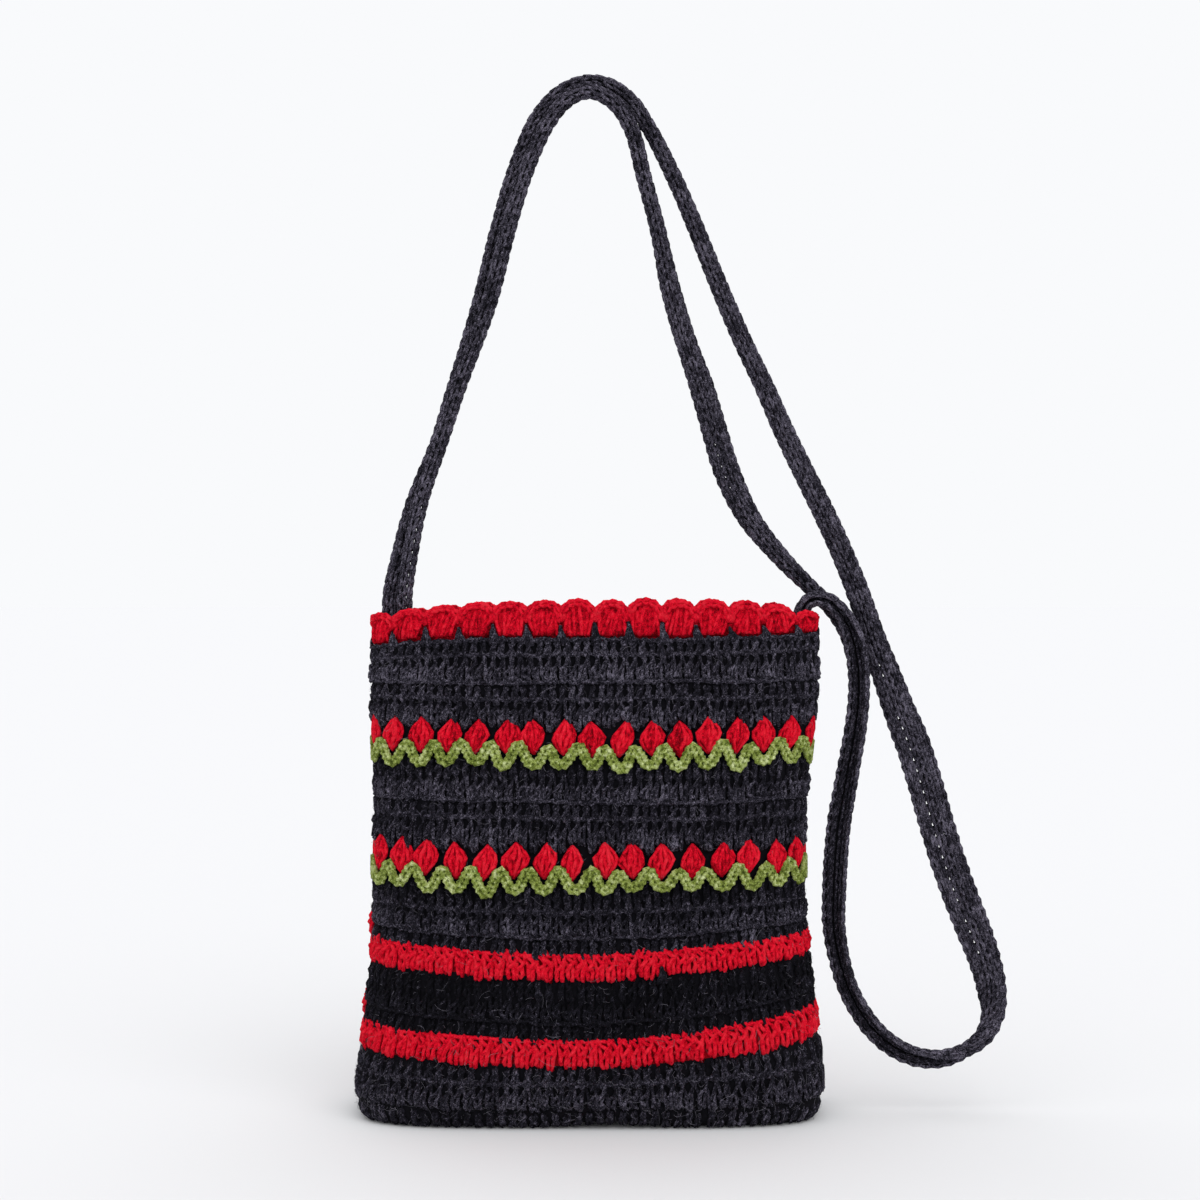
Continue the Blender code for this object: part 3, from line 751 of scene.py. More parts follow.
def long_stitch(chance):
    """The one charcoal stitch that reaches up into the upper stripe: four strands that lean to a point,
    across (1 - t), and stand over the red stitches."""
    t = np.linspace(0, 1, 6)
    across = np.array([-0.42, -0.14, 0.14, 0.42])[:, None] * (1 - t) + chance.normal(0, 0.03, (4, 6))
    fraction = LONG_STITCH_FRACTION + across / STITCHES
    level = np.broadcast_to(LONG_STITCH_FOOT + LONG_STITCH_REACH * t, across.shape)
    out = np.interp(t, (0, 0.3, 1), (0.2, 2.3, 1.9))
    return cloth_strands(fraction, level, out, 1.0 - 0.35 * t, -0.2)


def make_rounds(name, rounds, dye, material, chance):
    """Those of the rounds that have this dye, as one piece, with the lines of loops on them, the ring in
    each red round and the lap at its end, and the one long stitch."""
    parts = []
    for kind, bottom, colour, paleness_and_shade, over_petals in rounds:
        if colour != dye:
            continue
        parts += round_of_stitches(kind, bottom, dye, paleness_and_shade, over_petals, chance)
        for start, up, out in LOOP_LINES:
            if start == bottom:
                # A line of loops is painted 0.02 paler than its round, as light on its ridge.
                parts += line_of_loops(bottom + up, out, paleness_and_shade + 0.02, chance)
        if bottom == LONG_STITCH_ROUND:
            parts.append(long_stitch(chance))
        if dye == "red":
            ring = np.arange(2 * STITCHES) / (2 * STITCHES)
            level = bottom + HEAD_RING_UP + unevenness(ring, bottom + HEAD_RING_UP)
            # The ring behind the heads is painted 0.1 darker than its round, as shade behind them.
            parts.append(cloth_ring(ring, level, 0.2, 1.05, paleness_and_shade - 0.1, sides=5))
            last = STITCHES - 1 - np.arange(SEAM_STITCHES)
            lap = bottom + TALL - SEAM_LAP
            parts += round_of_stitches(kind, lap, dye, paleness_and_shade, None, chance, last, SEAM_OUT)
    return piece(name, parts, [material])


def ground_knots():
    """Levels and how far out the ground is there: near the surface in a tall round, a little deeper in a
    groove, and deepest behind the tulips."""
    knots = [(-9.0, -0.5)]
    for kind, bottom, *_ in ROUNDS:
        knots += [(bottom + up, out) for up, out in GROUND_UNDER[kind]]
        if bottom in UNDER_TULIPS:
            knots.append((bottom + BEHIND_TULIPS, GROUND_OUT))
    return np.array(knots).T


def make_bag_cloth(ground, red_ground, inside):
    """The close ground of the pouch, a shell with a flat base: out over the rim and down the inside.

    Its outside lies a little under the strands, less so by 0.8 mm times fold_share at the sides. Its
    inside swells and sinks with every round: out = -WALL + 0.35 cos(2 pi level / INSIDE_ROUND)."""
    fraction = np.arange(CLOTH_PLACES) / CLOTH_PLACES
    outside = np.arange(FOOT_END - 2, RIM_HEIGHT - 0.5, GROUND_STEP)
    knots = ground_knots()
    fill = 0.8 * fold_share(fraction)
    rows = [on_cloth(fraction, level, fill + np.interp(level, *knots)) for level in outside]
    top = RIM_HEIGHT - 0.3
    rows += [on_wall(fraction, top, GROUND_OUT), on_wall(fraction, top, -WALL + 0.3)]
    for level in np.arange(top - 1.6, 8.0, -INSIDE_STEP):
        swell = 0.35 * np.cos(2 * np.pi * level / INSIDE_ROUND)
        rows.append(on_wall(fraction, level, -WALL + swell))
    lower, floor = [], []
    for share in (0.55, 0.8):
        lower.append(rows[0] * (share, share, 1))
        lower[-1][:, 2] = 0.15
    for share in (1.0, 0.75):
        floor.append(on_wall(fraction, FOOT_ROUND, -WALL - 4.0) * (share, share, 1))
        floor[-1][:, 2] = WALL
    rings = np.array(lower + rows + floor)
    surface = grid_surface(rings, map_size=(STITCHES / CLOTH_PLACES, 1.0))
    surface = with_caps(surface, CLOTH_PLACES, len(rings))
    outer_rows = len(lower) + len(outside)

    def dyed(whole):
        """0 on the charcoal ground, 1 behind the red rounds, 2 on the inside."""
        row = np.concatenate([whole["quads"][:, 0], whole["triangles"][:, 0]]) // CLOTH_PLACES
        outside_row = np.clip(row - len(lower), 0, len(outside) - 1)
        level = np.where((row >= len(lower)) & (row < outer_rows), outside[outside_row], 0)
        red = np.any([(level > low) & (level < high) for low, high in RED_LEVELS], axis=0)
        return np.where(row >= outer_rows, 2, red * 1)

    made = piece("bag_cloth", [surface], [ground, red_ground, inside], dyed)
    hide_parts("body")
    return made


# --- tulips -------------------------------------------------------------------------------------------


def make_petals(row, base, shift, material, chance):
    """A row of petals, each a puff of strands that part from its foot and meet again at its tip.

    Along a strand t runs from 0 to 1. The petal's half width is PETAL_HALF_WIDTH (1 - |2t - 1|^1.3), and
    its crown is 2.5 sin(pi t)^0.7. A strand's place s across it, from -1 to 1, leans one way or the other.
    It stands out by the crown times sqrt(1 - 0.85 s^2), less at the bag's two folds. A filling of the
    same form lies under the strands, and one ring of wool behind the whole row, both painted darker as
    shade."""
    t = np.linspace(0, 1, PETAL_STEPS)
    across = np.linspace(-1, 1, PETAL_STRANDS)
    upper_layer = (np.arange(PETAL_STRANDS) % 2 == 0)[:, None]
    middle = (np.arange(TULIPS) + 0.5 + shift + chance.normal(0, 0.05, TULIPS))[:, None, None] / TULIPS
    wide = (1 - np.abs(2 * t - 1) ** 1.3) * PETAL_HALF_WIDTH * chance.normal(1, 0.07, (TULIPS, 1, 1))
    crown = 2.5 * np.sin(np.pi * t) ** 0.7 * chance.normal(1, 0.07, (TULIPS, 1, 1))
    rise = base + PETAL_FOOT + chance.normal(0, 0.45, (TULIPS, 1, 1)) + unevenness(middle, base)
    level = rise + (PETAL_TIP - PETAL_FOOT) * t
    tilt = chance.normal(0.0, 0.1, (TULIPS, 1, 1)) * (t - 0.5) / TULIPS
    lean = np.where(upper_layer, 0.32, -0.26) * (2 * t - 1)
    s = across[:, None] * 0.92 + lean + chance.normal(0, 0.06, (TULIPS, PETAL_STRANDS, PETAL_STEPS))
    fraction = middle + s * wide / TULIPS + tilt
    layer = np.where(upper_layer, 0.3, -0.2)
    flatten = 1 - SIDE_FLATTEN * fold_share(fraction)
    out = (crown * np.sqrt(np.clip(1 - 0.85 * s**2, 0.02, 1)) + layer) * flatten
    radius = (0.55 + 0.4 * np.sin(np.pi * t)) * chance.normal(1, 0.08, (TULIPS * PETAL_STRANDS, PETAL_STEPS))
    tone = (chance.normal(0, 0.05, (TULIPS, 1)) + chance.normal(0.03, 0.12, (TULIPS, PETAL_STRANDS))).ravel()
    lines = [one_a_strand(grid, s) for grid in (fraction, level, 0.1 + out)]
    parts = [cloth_strands(*lines, radius, tone)]
    s = np.linspace(-0.96, 0.96, 7)
    wide, level, crown, tilt = (np.swapaxes(grid, 1, 2) for grid in (wide, level, crown, tilt))
    fraction = middle + s * wide / TULIPS + tilt
    front = 0.1 + crown * np.sqrt(1 - 0.85 * s**2) * (1 - SIDE_FLATTEN * fold_share(fraction))
    # The filling and the ring are painted darker, -0.25 and -0.4, as shade under the strands and between the
    # petals.
    parts.append(pillows(fraction, level + 0 * s, front, -0.7, -0.25))
    ring = np.arange(CLOTH_PLACES) / CLOTH_PLACES
    parts.append(cloth_ring(ring, base + 16.0, -2.0, 0.8, -0.4))
    made = piece(f"petals_{row}", parts, [material])
    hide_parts(f"petal_row_{row}")
    return made


def leaf_line(place, base, shift, strays):
    """The middle line of the leaves' chain, whose place counts tulips: its fraction and level.

    level = LEAF_MIDDLE + (LEAF_GAP - LEAF_MIDDLE) ((1 + cos a) / 2)^1.45 over the row's base, where a
    turns once a tulip. Every peak and bottom strays a little, and places between stray in proportion."""
    angle = 2 * np.pi * place
    half = np.arange(2 * TULIPS + 1) / 2
    stray_up, stray_side = (np.interp(place % TULIPS, half, np.append(stray, stray[0])) for stray in strays)
    share = ((1 + np.cos(angle)) / 2) ** 1.45
    level = base + LEAF_MIDDLE + (LEAF_GAP - LEAF_MIDDLE) * share + stray_up
    return (place + stray_side + shift) / TULIPS, level


def make_leaves(row, base, shift, material, chance):
    """A row of leaves: one chain that zigzags round the bag, up between petals and down under each.

    A link's point beside the chain's middle line lies along the line's own square direction. A strand
    follows the line behind the links, so that they have no gaps, painted darker as shade."""
    count = TULIPS * LEAF_LINKS
    girth = np.linalg.norm(np.diff(on_wall(np.arange(409) / 408, base), axis=0), axis=1).sum()
    strays = (chance.normal(0, 0.85, 2 * TULIPS), chance.normal(0, 0.05, 2 * TULIPS))
    fine = np.arange(0, TULIPS + 0.005, 0.01)
    fine_fraction, fine_level = leaf_line(fine, base, shift, strays)
    way = np.concatenate([[0], np.cumsum(np.hypot(np.diff(fine_fraction) * girth, np.diff(fine_level)))])
    links = chain_links(count, chance)
    place = np.interp(links[..., 0] / count * way[-1] % way[-1], way, fine)
    fraction, level = leaf_line(place, base, shift, strays)
    ahead, ahead_level = leaf_line(place + 0.01, base, shift, strays)
    run, rise = (ahead - fraction) * girth, ahead_level - level
    size = np.hypot(run, rise)
    beside = links[..., 1] * LEAF_HALF_WIDTH
    fraction = fraction - beside * rise / size / girth
    level = level + beside * run / size + unevenness(fraction, base)
    flatten = 1 - SIDE_FLATTEN * fold_share(fraction)
    out = 0.9 + (1.2 + links[..., 2] * 1.1) * flatten
    tone = np.repeat(chance.normal(0, 0.08, count), 2)
    parts = [cloth_strands(fraction, level, out, 1.15 * links[..., 3], tone)]
    place = np.arange(TULIPS * 12) / 12
    fraction, level = leaf_line(place, base, shift, strays)
    out = 0.6 + 0.5 * (1 - SIDE_FLATTEN * fold_share(fraction))
    # The strand behind the links is painted 0.3 darker, as shade.
    parts.append(cloth_ring(fraction, level, out, 1.5, -0.3))
    made = piece(f"leaves_{row}", parts, [material])
    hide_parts(f"leaf_row_{row}")
    return made


# --- the scalloped edging -----------------------------------------------------------------------------


def arch(place):
    """How high the edging's ground is over its bottom: EDGE_NOTCH + EDGE_CROWN (1 - |2p - 1|^2.3), with
    p the share of the way from one notch, at a whole number, to the next."""
    return EDGE_NOTCH + EDGE_CROWN * (1 - np.abs(2 * (place % 1) - 1) ** 2.3)


def make_edging(material, chance):
    """The scalloped edging. Each scallop is a fan of strands outside and inside that swells over its
    narrow foot, under a rope of chain that climbs from one notch over the crown and down to the next.

    Up a fan t runs from 0 to 1, and across it s from -1 to 1: it is 0.3 + 0.13 t of a scallop wide each
    way and stands out by a swell, sin(pi t)^0.9, times 1 - 0.55 s^2. Pillows of the same form fill the
    scallops, and a closed band with a ring on it joins them; these are painted darker than the fans, as
    shade under and between the scallops."""
    t = np.linspace(0, 1, FAN_STEPS)
    fan = np.linspace(-1, 1, FAN_STRANDS)
    scallop = np.arange(SCALLOPS)[:, None, None]
    lift = chance.normal(0, 0.4, (SCALLOPS, 1, 1))
    sway = chance.normal(0, 0.015, (SCALLOPS, 1, 1))
    slant = 0.04 * (2 * t - 1) * chance.normal(1, 0.5, (SCALLOPS, 1, 1))
    cross = chance.normal(0, 0.1, (SCALLOPS, FAN_STRANDS, 1)) * (2 * t - 1)
    s = fan[:, None] + chance.normal(0, 0.05, (SCALLOPS, FAN_STRANDS, 1))
    place = scallop + 0.5 + sway + s * (0.3 + 0.13 * t) + slant + cross
    level = EDGE_BOTTOM + 2.0 + (12.8 - 2.2 * s**2) * t + lift * t
    swell = np.sin(np.pi * np.clip(t * 0.93 + 0.05, 0, 1)) ** 0.9
    bulge = swell * (1 - 0.55 * s**2)
    inside = EDGE_BOTTOM - 0.2 + (15.4 - 4.0 * s**2) * t + lift * t
    layer = np.where(np.arange(FAN_STRANDS) % 2 == 0, 0.2, -0.2)[:, None]
    tone = chance.normal(0.0, 0.12, SCALLOPS * FAN_STRANDS)
    radius = 0.85 * chance.normal(1, 0.1, (SCALLOPS * FAN_STRANDS, FAN_STEPS))
    parts = []
    for up, out, sides in ((level, -0.7 + 2.1 * bulge + layer, 6), (inside, -2.3 - 0.7 * bulge, 5)):
        lines = [one_a_strand(grid, place) for grid in (place / SCALLOPS, up, out)]
        parts.append(cloth_strands(*lines, radius, tone, sides))
    s = np.linspace(-1.05, 1.05, 7)
    swell, slant, up = swell[:, None], slant.swapaxes(1, 2), t[:, None]
    place = scallop + 0.5 + sway + s * (0.3 + 0.13 * up) + slant
    level = EDGE_BOTTOM + 1.6 + (14.0 - 2.2 * s**2) * up + lift * up
    bulge = swell * (1 - 0.55 * s**2) + 0 * place
    # The pillows, the ring and the band are painted darker, -0.2 to -0.35, as shade.
    parts.append(pillows(place / SCALLOPS, level, -0.5 + 1.9 * bulge, -2.5 - 0.7 * bulge, -0.2))
    parts.append(arch_ropes(scallop + 0.5 + sway, lift, chance))
    place = np.arange(SCALLOPS * 8) / 8
    ring, low, high = place / SCALLOPS, EDGE_BOTTOM + 0 * place, EDGE_BOTTOM + arch(place)
    parts.append(cloth_ring(ring, high - 0.4, -0.9, 1.5, -0.2))
    corners = ((low, -0.9), (high, -0.9), (high, -2.2), (low, -2.5))
    band = np.array([on_wall(ring, height, out) for height, out in corners])
    parts.append(grid_surface(band, closes_up=True, tone=-0.35))
    made = piece("scallop_edging", parts, [material])
    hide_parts("scallop_edge")
    return made


def arch_ropes(middle, lift, chance):
    """The rope of chain over every scallop: it follows ARCH_ROPE's smooth curve, and a link's point
    beside it lies along the curve's own square direction."""
    links = np.concatenate([chain_links(ARCH_LINKS, chance)[None] for _ in range(SCALLOPS)])
    way = links[..., 0] / ARCH_LINKS
    rope = np.array(ARCH_ROPE)
    knots = np.linspace(0, 1, len(rope))
    run = smooth_curve(knots, rope, np.clip(way, 0, 1))
    near = np.clip(way, 0.03, 0.97)
    slope = smooth_curve(knots, rope, near + 0.02) - smooth_curve(knots, rope, near - 0.02)
    size = np.hypot(slope[..., 0], slope[..., 1])
    beside = links[..., 1] * ROPE_HALF_WIDTH
    x = run[..., 0] - beside * slope[..., 1] / size
    fraction = (middle + x / SCALLOP_PITCH) / SCALLOPS
    level = EDGE_BOTTOM + run[..., 1] + beside * slope[..., 0] / size + lift * run[..., 1] / ROPE_TOP
    out = run[..., 2] + links[..., 2]
    # The rope is painted 0.12 paler than the fans, as highlight on its roll.
    tone = np.repeat(chance.normal(0.12, 0.08, SCALLOPS * ARCH_LINKS), 2)
    lines = [one_a_strand(grid, way) for grid in (fraction, level, out, 0.95 * links[..., 3])]
    return cloth_strands(*lines, tone)


def make_spikes(material, chance):
    """Long charcoal stitches that reach up between the scallops: strands that lean together to a point."""
    t = np.linspace(0, 1, 6)
    across = np.array([-0.07, 0.06, 0.2])[:, None] * (1 - t) - 0.02 * t
    place = np.arange(SCALLOPS)[:, None, None] + across + chance.normal(0, 0.015, (SCALLOPS, 3, 6))
    height = SPIKE_HEIGHT + chance.normal(0, 0.7, (SCALLOPS, 1, 1))
    level = EDGE_BOTTOM - 2.4 + (height + 2.4) * t
    out = np.interp(t, (0, 0.25, 0.75, 1), (-0.4, 1.0, 1.3, -0.2))
    tone = np.repeat(chance.normal(0.0, 0.05, SCALLOPS), 3)
    lines = [one_a_strand(grid, place) for grid in (place / SCALLOPS, level, out)]
    spikes = piece("edging_spikes", [cloth_strands(*lines, 0.95 - 0.35 * t, tone)], [material])
    return spikes


# --- the strap ----------------------------------------------------------------------------------------


def band_frame(table):
    """The band's run at every millimetre: its way along, and its place, width, curl, turn and frame.

    side is the run's direction crossed with +Y, and front is the direction crossed with side."""
    rows = np.array(table, float)
    knots = np.concatenate([[0], np.cumsum(np.linalg.norm(np.diff(rows[:, :3], axis=0), axis=1))])
    way = np.arange(0, knots[-1], 1.0)
    run = smooth_curve(knots, rows, way)
    along = np.gradient(run[:, :3], axis=0)
    along /= np.linalg.norm(along, axis=1, keepdims=True)
    side = np.cross(along, (0, 1, 0))
    side /= np.linalg.norm(side, axis=1, keepdims=True)
    return way, np.concatenate([run, side, np.cross(along, side)], axis=1)


def on_band(band, along, across, out):
    """Points on the curled band. across is a share of its width, from -0.5 to 0.5.

    Its section is an arc of radius width / curl: (r + out)(sin a, cos a) with a = curl times across,
    less half of the arc's own height, turned about the run by the turn's angle."""
    way, channels = band
    along, across, out = np.broadcast_arrays(np.asarray(along, float), across, out)
    here = np.stack([np.interp(along, way, channel) for channel in channels.T], axis=-1)
    width, curl, turn = here[..., WIDTH], np.radians(here[..., CURL]), np.radians(here[..., TURN])
    radius = width / curl
    angle = curl * across
    sideways = (radius + out) * np.sin(angle)
    outward = (radius + out) * np.cos(angle) - radius * (1 + np.cos(curl / 2)) / 2
    to_side = sideways * np.cos(turn) - outward * np.sin(turn)
    to_front = sideways * np.sin(turn) + outward * np.cos(turn)
    return here[..., :3] + to_side[..., None] * here[..., 6:9] + to_front[..., None] * here[..., 9:]


def band_strands(band, along, across, out, radius, tone, sides=5):
    """Strands on the band, each ring set square to its outward direction."""
    centres = on_band(band, along, across, out)
    facing = on_band(band, along, across, np.asarray(out) + 0.5) - centres
    return strands(centres, facing, radius, sides, tone)


def hollow_strands(band, rows, pitch, start, chance):
    """The band's wrong side: strands along its hollow, deeper and thicker where it is curled up more.

    They lie 0.35 to 1.1 mm under its middle surface, are 0.6 to 0.85 mm in radius and swell once a row,
    by 1 + 0.22 sin a."""
    step = np.arange(start * 3, rows * 3) / 3
    along = (step + 0.2) * pitch
    curled = np.clip((np.interp(along, band[0], band[1][:, CURL]) - 60) / 100, 0, 1)
    found = []
    for across in HOLLOW_ACROSS:
        place = across + chance.normal(0, 0.01, len(along))
        out = -0.35 - 0.75 * curled + chance.normal(0, 0.1, len(along))
        size = (0.6 + 0.25 * curled) * (1 + 0.22 * np.sin(2 * np.pi * step + 9 * across))
        found.append(band_strands(band, along[None], place[None], out[None], size[None], -0.04))
    return found


def make_strap(name, table, node, hollow_start, materials, chance):
    """One run of the strap: five chains of stitches side by side on a thin ground with small holes. Its
    outer chains are half as wide where it is rolled nearly shut, and strands fill its hollow from the
    row hollow_start on."""
    ground, material = materials
    band = band_frame(table)
    length = band[0][-1]
    rows = int(length // ROW_PITCH)
    pitch = length / (rows + 0.3)
    parts = []
    for across, wide, high in BAND_CHAINS:
        links = chain_links(rows, chance)
        along = (links[..., 0] + 0.12) * pitch + across * 2.0
        rolled = np.clip((np.interp(along, band[0], band[1][:, CURL]) - 300) / 20, 0, 1)
        narrow = 1 - 0.5 * rolled * (abs(across) > OUTER_CHAIN)
        place = across + links[..., 1] * wide * narrow / BAND_WIDTH
        out = high + links[..., 2] * 0.75
        tone = np.repeat(chance.normal(0.1, 0.06, rows), 2)
        along = np.clip(along, 0.6, length - 0.6)
        parts.append(band_strands(band, along, place, out, 0.9 * links[..., 3], tone, sides=4))
    parts += hollow_strands(band, rows, pitch, hollow_start, chance)
    made = piece(f"{name}_stitches", parts, [material])
    strip = make_strip(f"{name}_ground", name, band, rows, pitch, ground, chance)
    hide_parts(node)
    return made


def make_strip(name, run, band, rows, pitch, material, chance):
    """The strap's thin ground: a flat strip with a front and a back skin, 0.32 mm out and in, joined at
    its edges and round each small hole. It is cut into lanes across, and each row of stitches is cut
    into a part that may have a hole and one that has none."""
    starts, ends = np.arange(rows) + HOLE_START, np.arange(rows) + HOLE_END
    cuts = np.sort(np.concatenate([starts, ends])[1:]) * pitch
    along = np.clip(np.concatenate([[0.4], cuts, [band[0][-1] - 0.4]]), 0.4, band[0][-1] - 0.4)
    skins = [on_band(band, along[:, None], np.array(LANES), out) for out in (0.32, -0.32)]
    tall, wide = len(along), len(LANES)
    open_cell = np.zeros((tall - 1, wide - 1), bool)
    hole_rows = np.arange(1, tall - 2, 2) + 1
    for where, start, end, lane, share in HOLES:
        luck = chance.random(len(hole_rows))
        inside = (along[hole_rows] > start) & (along[hole_rows] < end) & (where == run)
        open_cell[hole_rows[inside & (luck < share)], lane] = True
    row, lane = np.nonzero(~open_cell)
    corner = row * wide + lane
    front = np.stack([corner, corner + wide, corner + wide + 1, corner + 1], axis=1)
    solid = np.pad(~open_cell, 1)
    back = front[:, ::-1] + tall * wide
    walls = []
    sides = ((0, -1, 0, wide), (0, 1, wide + 1, 1), (-1, 0, 1, 0), (1, 0, wide, wide + 1))
    for step_row, step_lane, first, second in sides:
        edge = ~solid[row + 1 + step_row, lane + 1 + step_lane]
        a, b = corner[edge] + first, corner[edge] + second
        walls.append(np.stack([b, a, a + tall * wide, b + tall * wide], axis=1))
    quads = np.concatenate([front, back] + walls)
    points = np.concatenate([skin.reshape(-1, 3) for skin in skins])
    part = {
        "vertices": points,
        "quads": quads,
        "triangles": np.empty((0, 3), int),
        "quad_map": np.zeros((len(quads), 4, 2)),
        "tones": np.full(len(points), -0.25),
    }
    return piece(name, [part], [material])


# --- loose fibres -------------------------------------------------------------------------------------


HAIRS = 3600


def make_hairs(material, chance):
    """Fine hairs of wool that stand off the pouch: short arcs, each a little prism of three sides. Three
    in ten lie near its foot, and the others anywhere on its wall.

    Along a hair t runs from 0 to 1. Its heading turns by bend t, and it stands 1.2 mm out and up to
    1.3 sin(pi t)^0.7 mm more."""
    t = np.linspace(0, 1, 4)
    fraction = chance.random(HAIRS)[:, None]
    low_level = 4 + np.abs(chance.normal(0, 1, HAIRS))[:, None] * 18
    level = np.where(chance.random((HAIRS, 1)) < 0.3, low_level, 4 + 205 * chance.random((HAIRS, 1)))
    step = chance.gamma(2.4, 1.4, (HAIRS, 1)) / len(t)
    heading = chance.random((HAIRS, 1)) * 2 * np.pi
    bend = chance.normal(0, 1.2, (HAIRS, 1))
    angle = heading + bend * (t - 0.5)
    fraction = fraction + np.cumsum(np.cos(angle), axis=1) * step / GIRTH
    level = np.clip(level + np.cumsum(np.sin(angle), axis=1) * step, 1.0, 211.0)
    out = 1.2 + chance.random((HAIRS, 1)) * 1.3 * np.sin(np.pi * t) ** 0.7 + 0.35 * (t - 0.5)
    tone = chance.normal(0.0, 0.3, HAIRS)
    made = piece("wool_hairs", [cloth_strands(fraction, level, out, 0.045, tone, sides=3)], [material])
    return made


# --- materials ----------------------------------------------------------------------------------------


def hue(code):
    """An sRGB hex colour as linear red, green, blue and alpha."""
    share = np.array([int(code[i : i + 2], 16) for i in (0, 2, 4)]) / 255
    linear = np.where(share <= 0.04045, share / 12.92, ((share + 0.055) / 1.055) ** 2.4)
    return (*linear.tolist(), 1.0)


def add(tree, kind, settings=None, links=None):
    """Adds one node, sets its properties, and fills its inputs with values or with other nodes' outputs."""
    node = tree.nodes.new("ShaderNode" + kind)
    for name, value in (settings or {}).items():
        setattr(node, name, value)
    for place, value in (links or {}).items():
        if isinstance(value, bpy.types.NodeSocket):
            tree.links.new(value, node.inputs[place])
        else:
            node.inputs[place].default_value = value
    return node


def new_material(name, finish):
    """A new material, its node tree and its shader, whose inputs have the values that `finish` gives."""
    material = bpy.data.materials.new(name)
    material.use_nodes = True
    tree = material.node_tree
    shader = tree.nodes["Principled BSDF"]
    for place, value in finish.items():
        shader.inputs[place].default_value = value
    return material, tree, shader


def weighted_sum(tree, start, terms):
    """start + each pattern times its weight."""
    for pattern, weight in terms:
        step = add(tree, "Math", {"operation": "MULTIPLY_ADD"}, {0: pattern, 1: weight, 2: start})
        start = step.outputs[0]
    return start


PLY_PITCH = 3.6
PLIES = 3
CHARCOAL_DYES = ("030305", "111016", "292731", "8e889a")
RED_DYES = ("76000f", "c4021c", "f60a2c", "ff2e40")
GREEN_DYES = ("3a441a", "66752c", "9cac50", "e2ecb0")


def wool(name, dyes, sheen, flecks, blotches):
    """Carded wool yarn, spun and plied: plies wind round it as soft ridges, its fibres run along it as
    fine streaks, and stray fibres curl over it as a fuzz of small pale and dark flecks. Its surface is
    matt, with a soft bloom at the edges. Its four dyes go from its shadows to its palest fibres, and its
    map runs along the yarn in mm and round it in turns."""
    shadow, deep, middle, pale = map(hue, dyes)
    finish = {
        "Roughness": 0.92,
        "IOR": 1.5,
        "Specular IOR Level": 0.08,
        "Sheen Weight": sheen,
        "Sheen Roughness": 0.5,
        "Sheen Tint": pale,
    }
    material, tree, shader = new_material(name, finish)
    place = add(tree, "UVMap", {"uv_map": "yarn"})
    parts = add(tree, "SeparateXYZ", links={0: place.outputs[0]})
    # The tone carries each strand's own random paleness, and also the painted shade and light set on some
    # strands.
    tone = add(tree, "Attribute", {"attribute_name": "tone"}).outputs["Fac"]
    turns = add(tree, "Math", {"operation": "MULTIPLY"}, {0: parts.outputs[1], 1: float(PLIES)}).outputs[0]
    wind = weighted_sum(tree, turns, [(parts.outputs[0], 1 / PLY_PITCH)])
    angle = add(tree, "Math", {"operation": "MULTIPLY"}, {0: wind, 1: 2 * np.pi}).outputs[0]
    ply = add(tree, "Math", {"operation": "SINE"}, {0: angle}).outputs[0]
    # Streaks 2 mm long, fourteen round the yarn.
    streak_place = add(tree, "CombineXYZ", links={0: parts.outputs[0], 1: parts.outputs[1], 2: tone})
    streak_scale = add(tree, "Mapping", links={0: streak_place.outputs[0], 3: (0.5, 14.0, 40.0)})
    streaks = {0: streak_scale.outputs[0], "Scale": 1.0, "Detail": 2.0}
    streak = add(tree, "TexNoise", links=streaks).outputs[0]
    # Fuzz 0.8 mm across, bent by a coarser noise into short curls.
    here = add(tree, "TexCoord").outputs["Object"]
    curls = {0: here, "Scale": 1200.0, "Detail": 3.0, "Roughness": 0.7, "Distortion": 1.6}
    fuzz = add(tree, "TexNoise", links=curls).outputs[0]
    # Slow changes of dye 22 mm across, and blotches 2.4 mm across.
    patch = add(tree, "TexNoise", links={0: here, "Scale": 45.0, "Detail": 1.0}).outputs[0]
    blotch = add(tree, "TexNoise", links={0: here, "Scale": 420.0, "Detail": 1.0}).outputs[0]
    terms = [(ply, 0.05), (streak, 0.45), (patch, 0.12), (blotch, blotches), (fuzz, flecks)]
    base = weighted_sum(tree, tone, terms)
    centre = (0.45 + 0.12 + blotches + flecks) / 2 - 0.5
    level = add(tree, "Math", {"operation": "SUBTRACT"}, {0: base, 1: centre}).outputs[0]
    ramp = add(tree, "ValToRGB", links={0: level})
    stops = ramp.color_ramp.elements
    stops[0].color, stops[1].color = shadow, pale
    stops.new(0.25).color = deep
    stops.new(0.55).color = middle
    tree.links.new(ramp.outputs[0], shader.inputs["Base Color"])
    ridge = weighted_sum(tree, streak, [(ply, 0.35), (fuzz, 2.2)])
    bump = add(tree, "Bump", links={"Strength": 1.0, "Distance": 0.00045, "Height": ridge})
    tree.links.new(bump.outputs[0], shader.inputs["Normal"])
    return material


def ground_wool(name, code):
    """The wool deep between the stitches, painted darker than the yarn as shade: matt, with only a fine 2 mm
    mottle that runs down to black.
    """
    material, tree, shader = new_material(name, {"Roughness": 1.0, "Specular IOR Level": 0.1})
    place = add(tree, "TexCoord")
    spot = add(tree, "TexNoise", links={0: place.outputs["Object"], "Scale": 500.0, "Detail": 3.0})
    colour = add(tree, "Mix", {"data_type": "RGBA"}, {0: spot.outputs[0], 6: (0, 0, 0, 1), 7: hue(code)})
    tree.links.new(colour.outputs[2], shader.inputs["Base Color"])
    return material


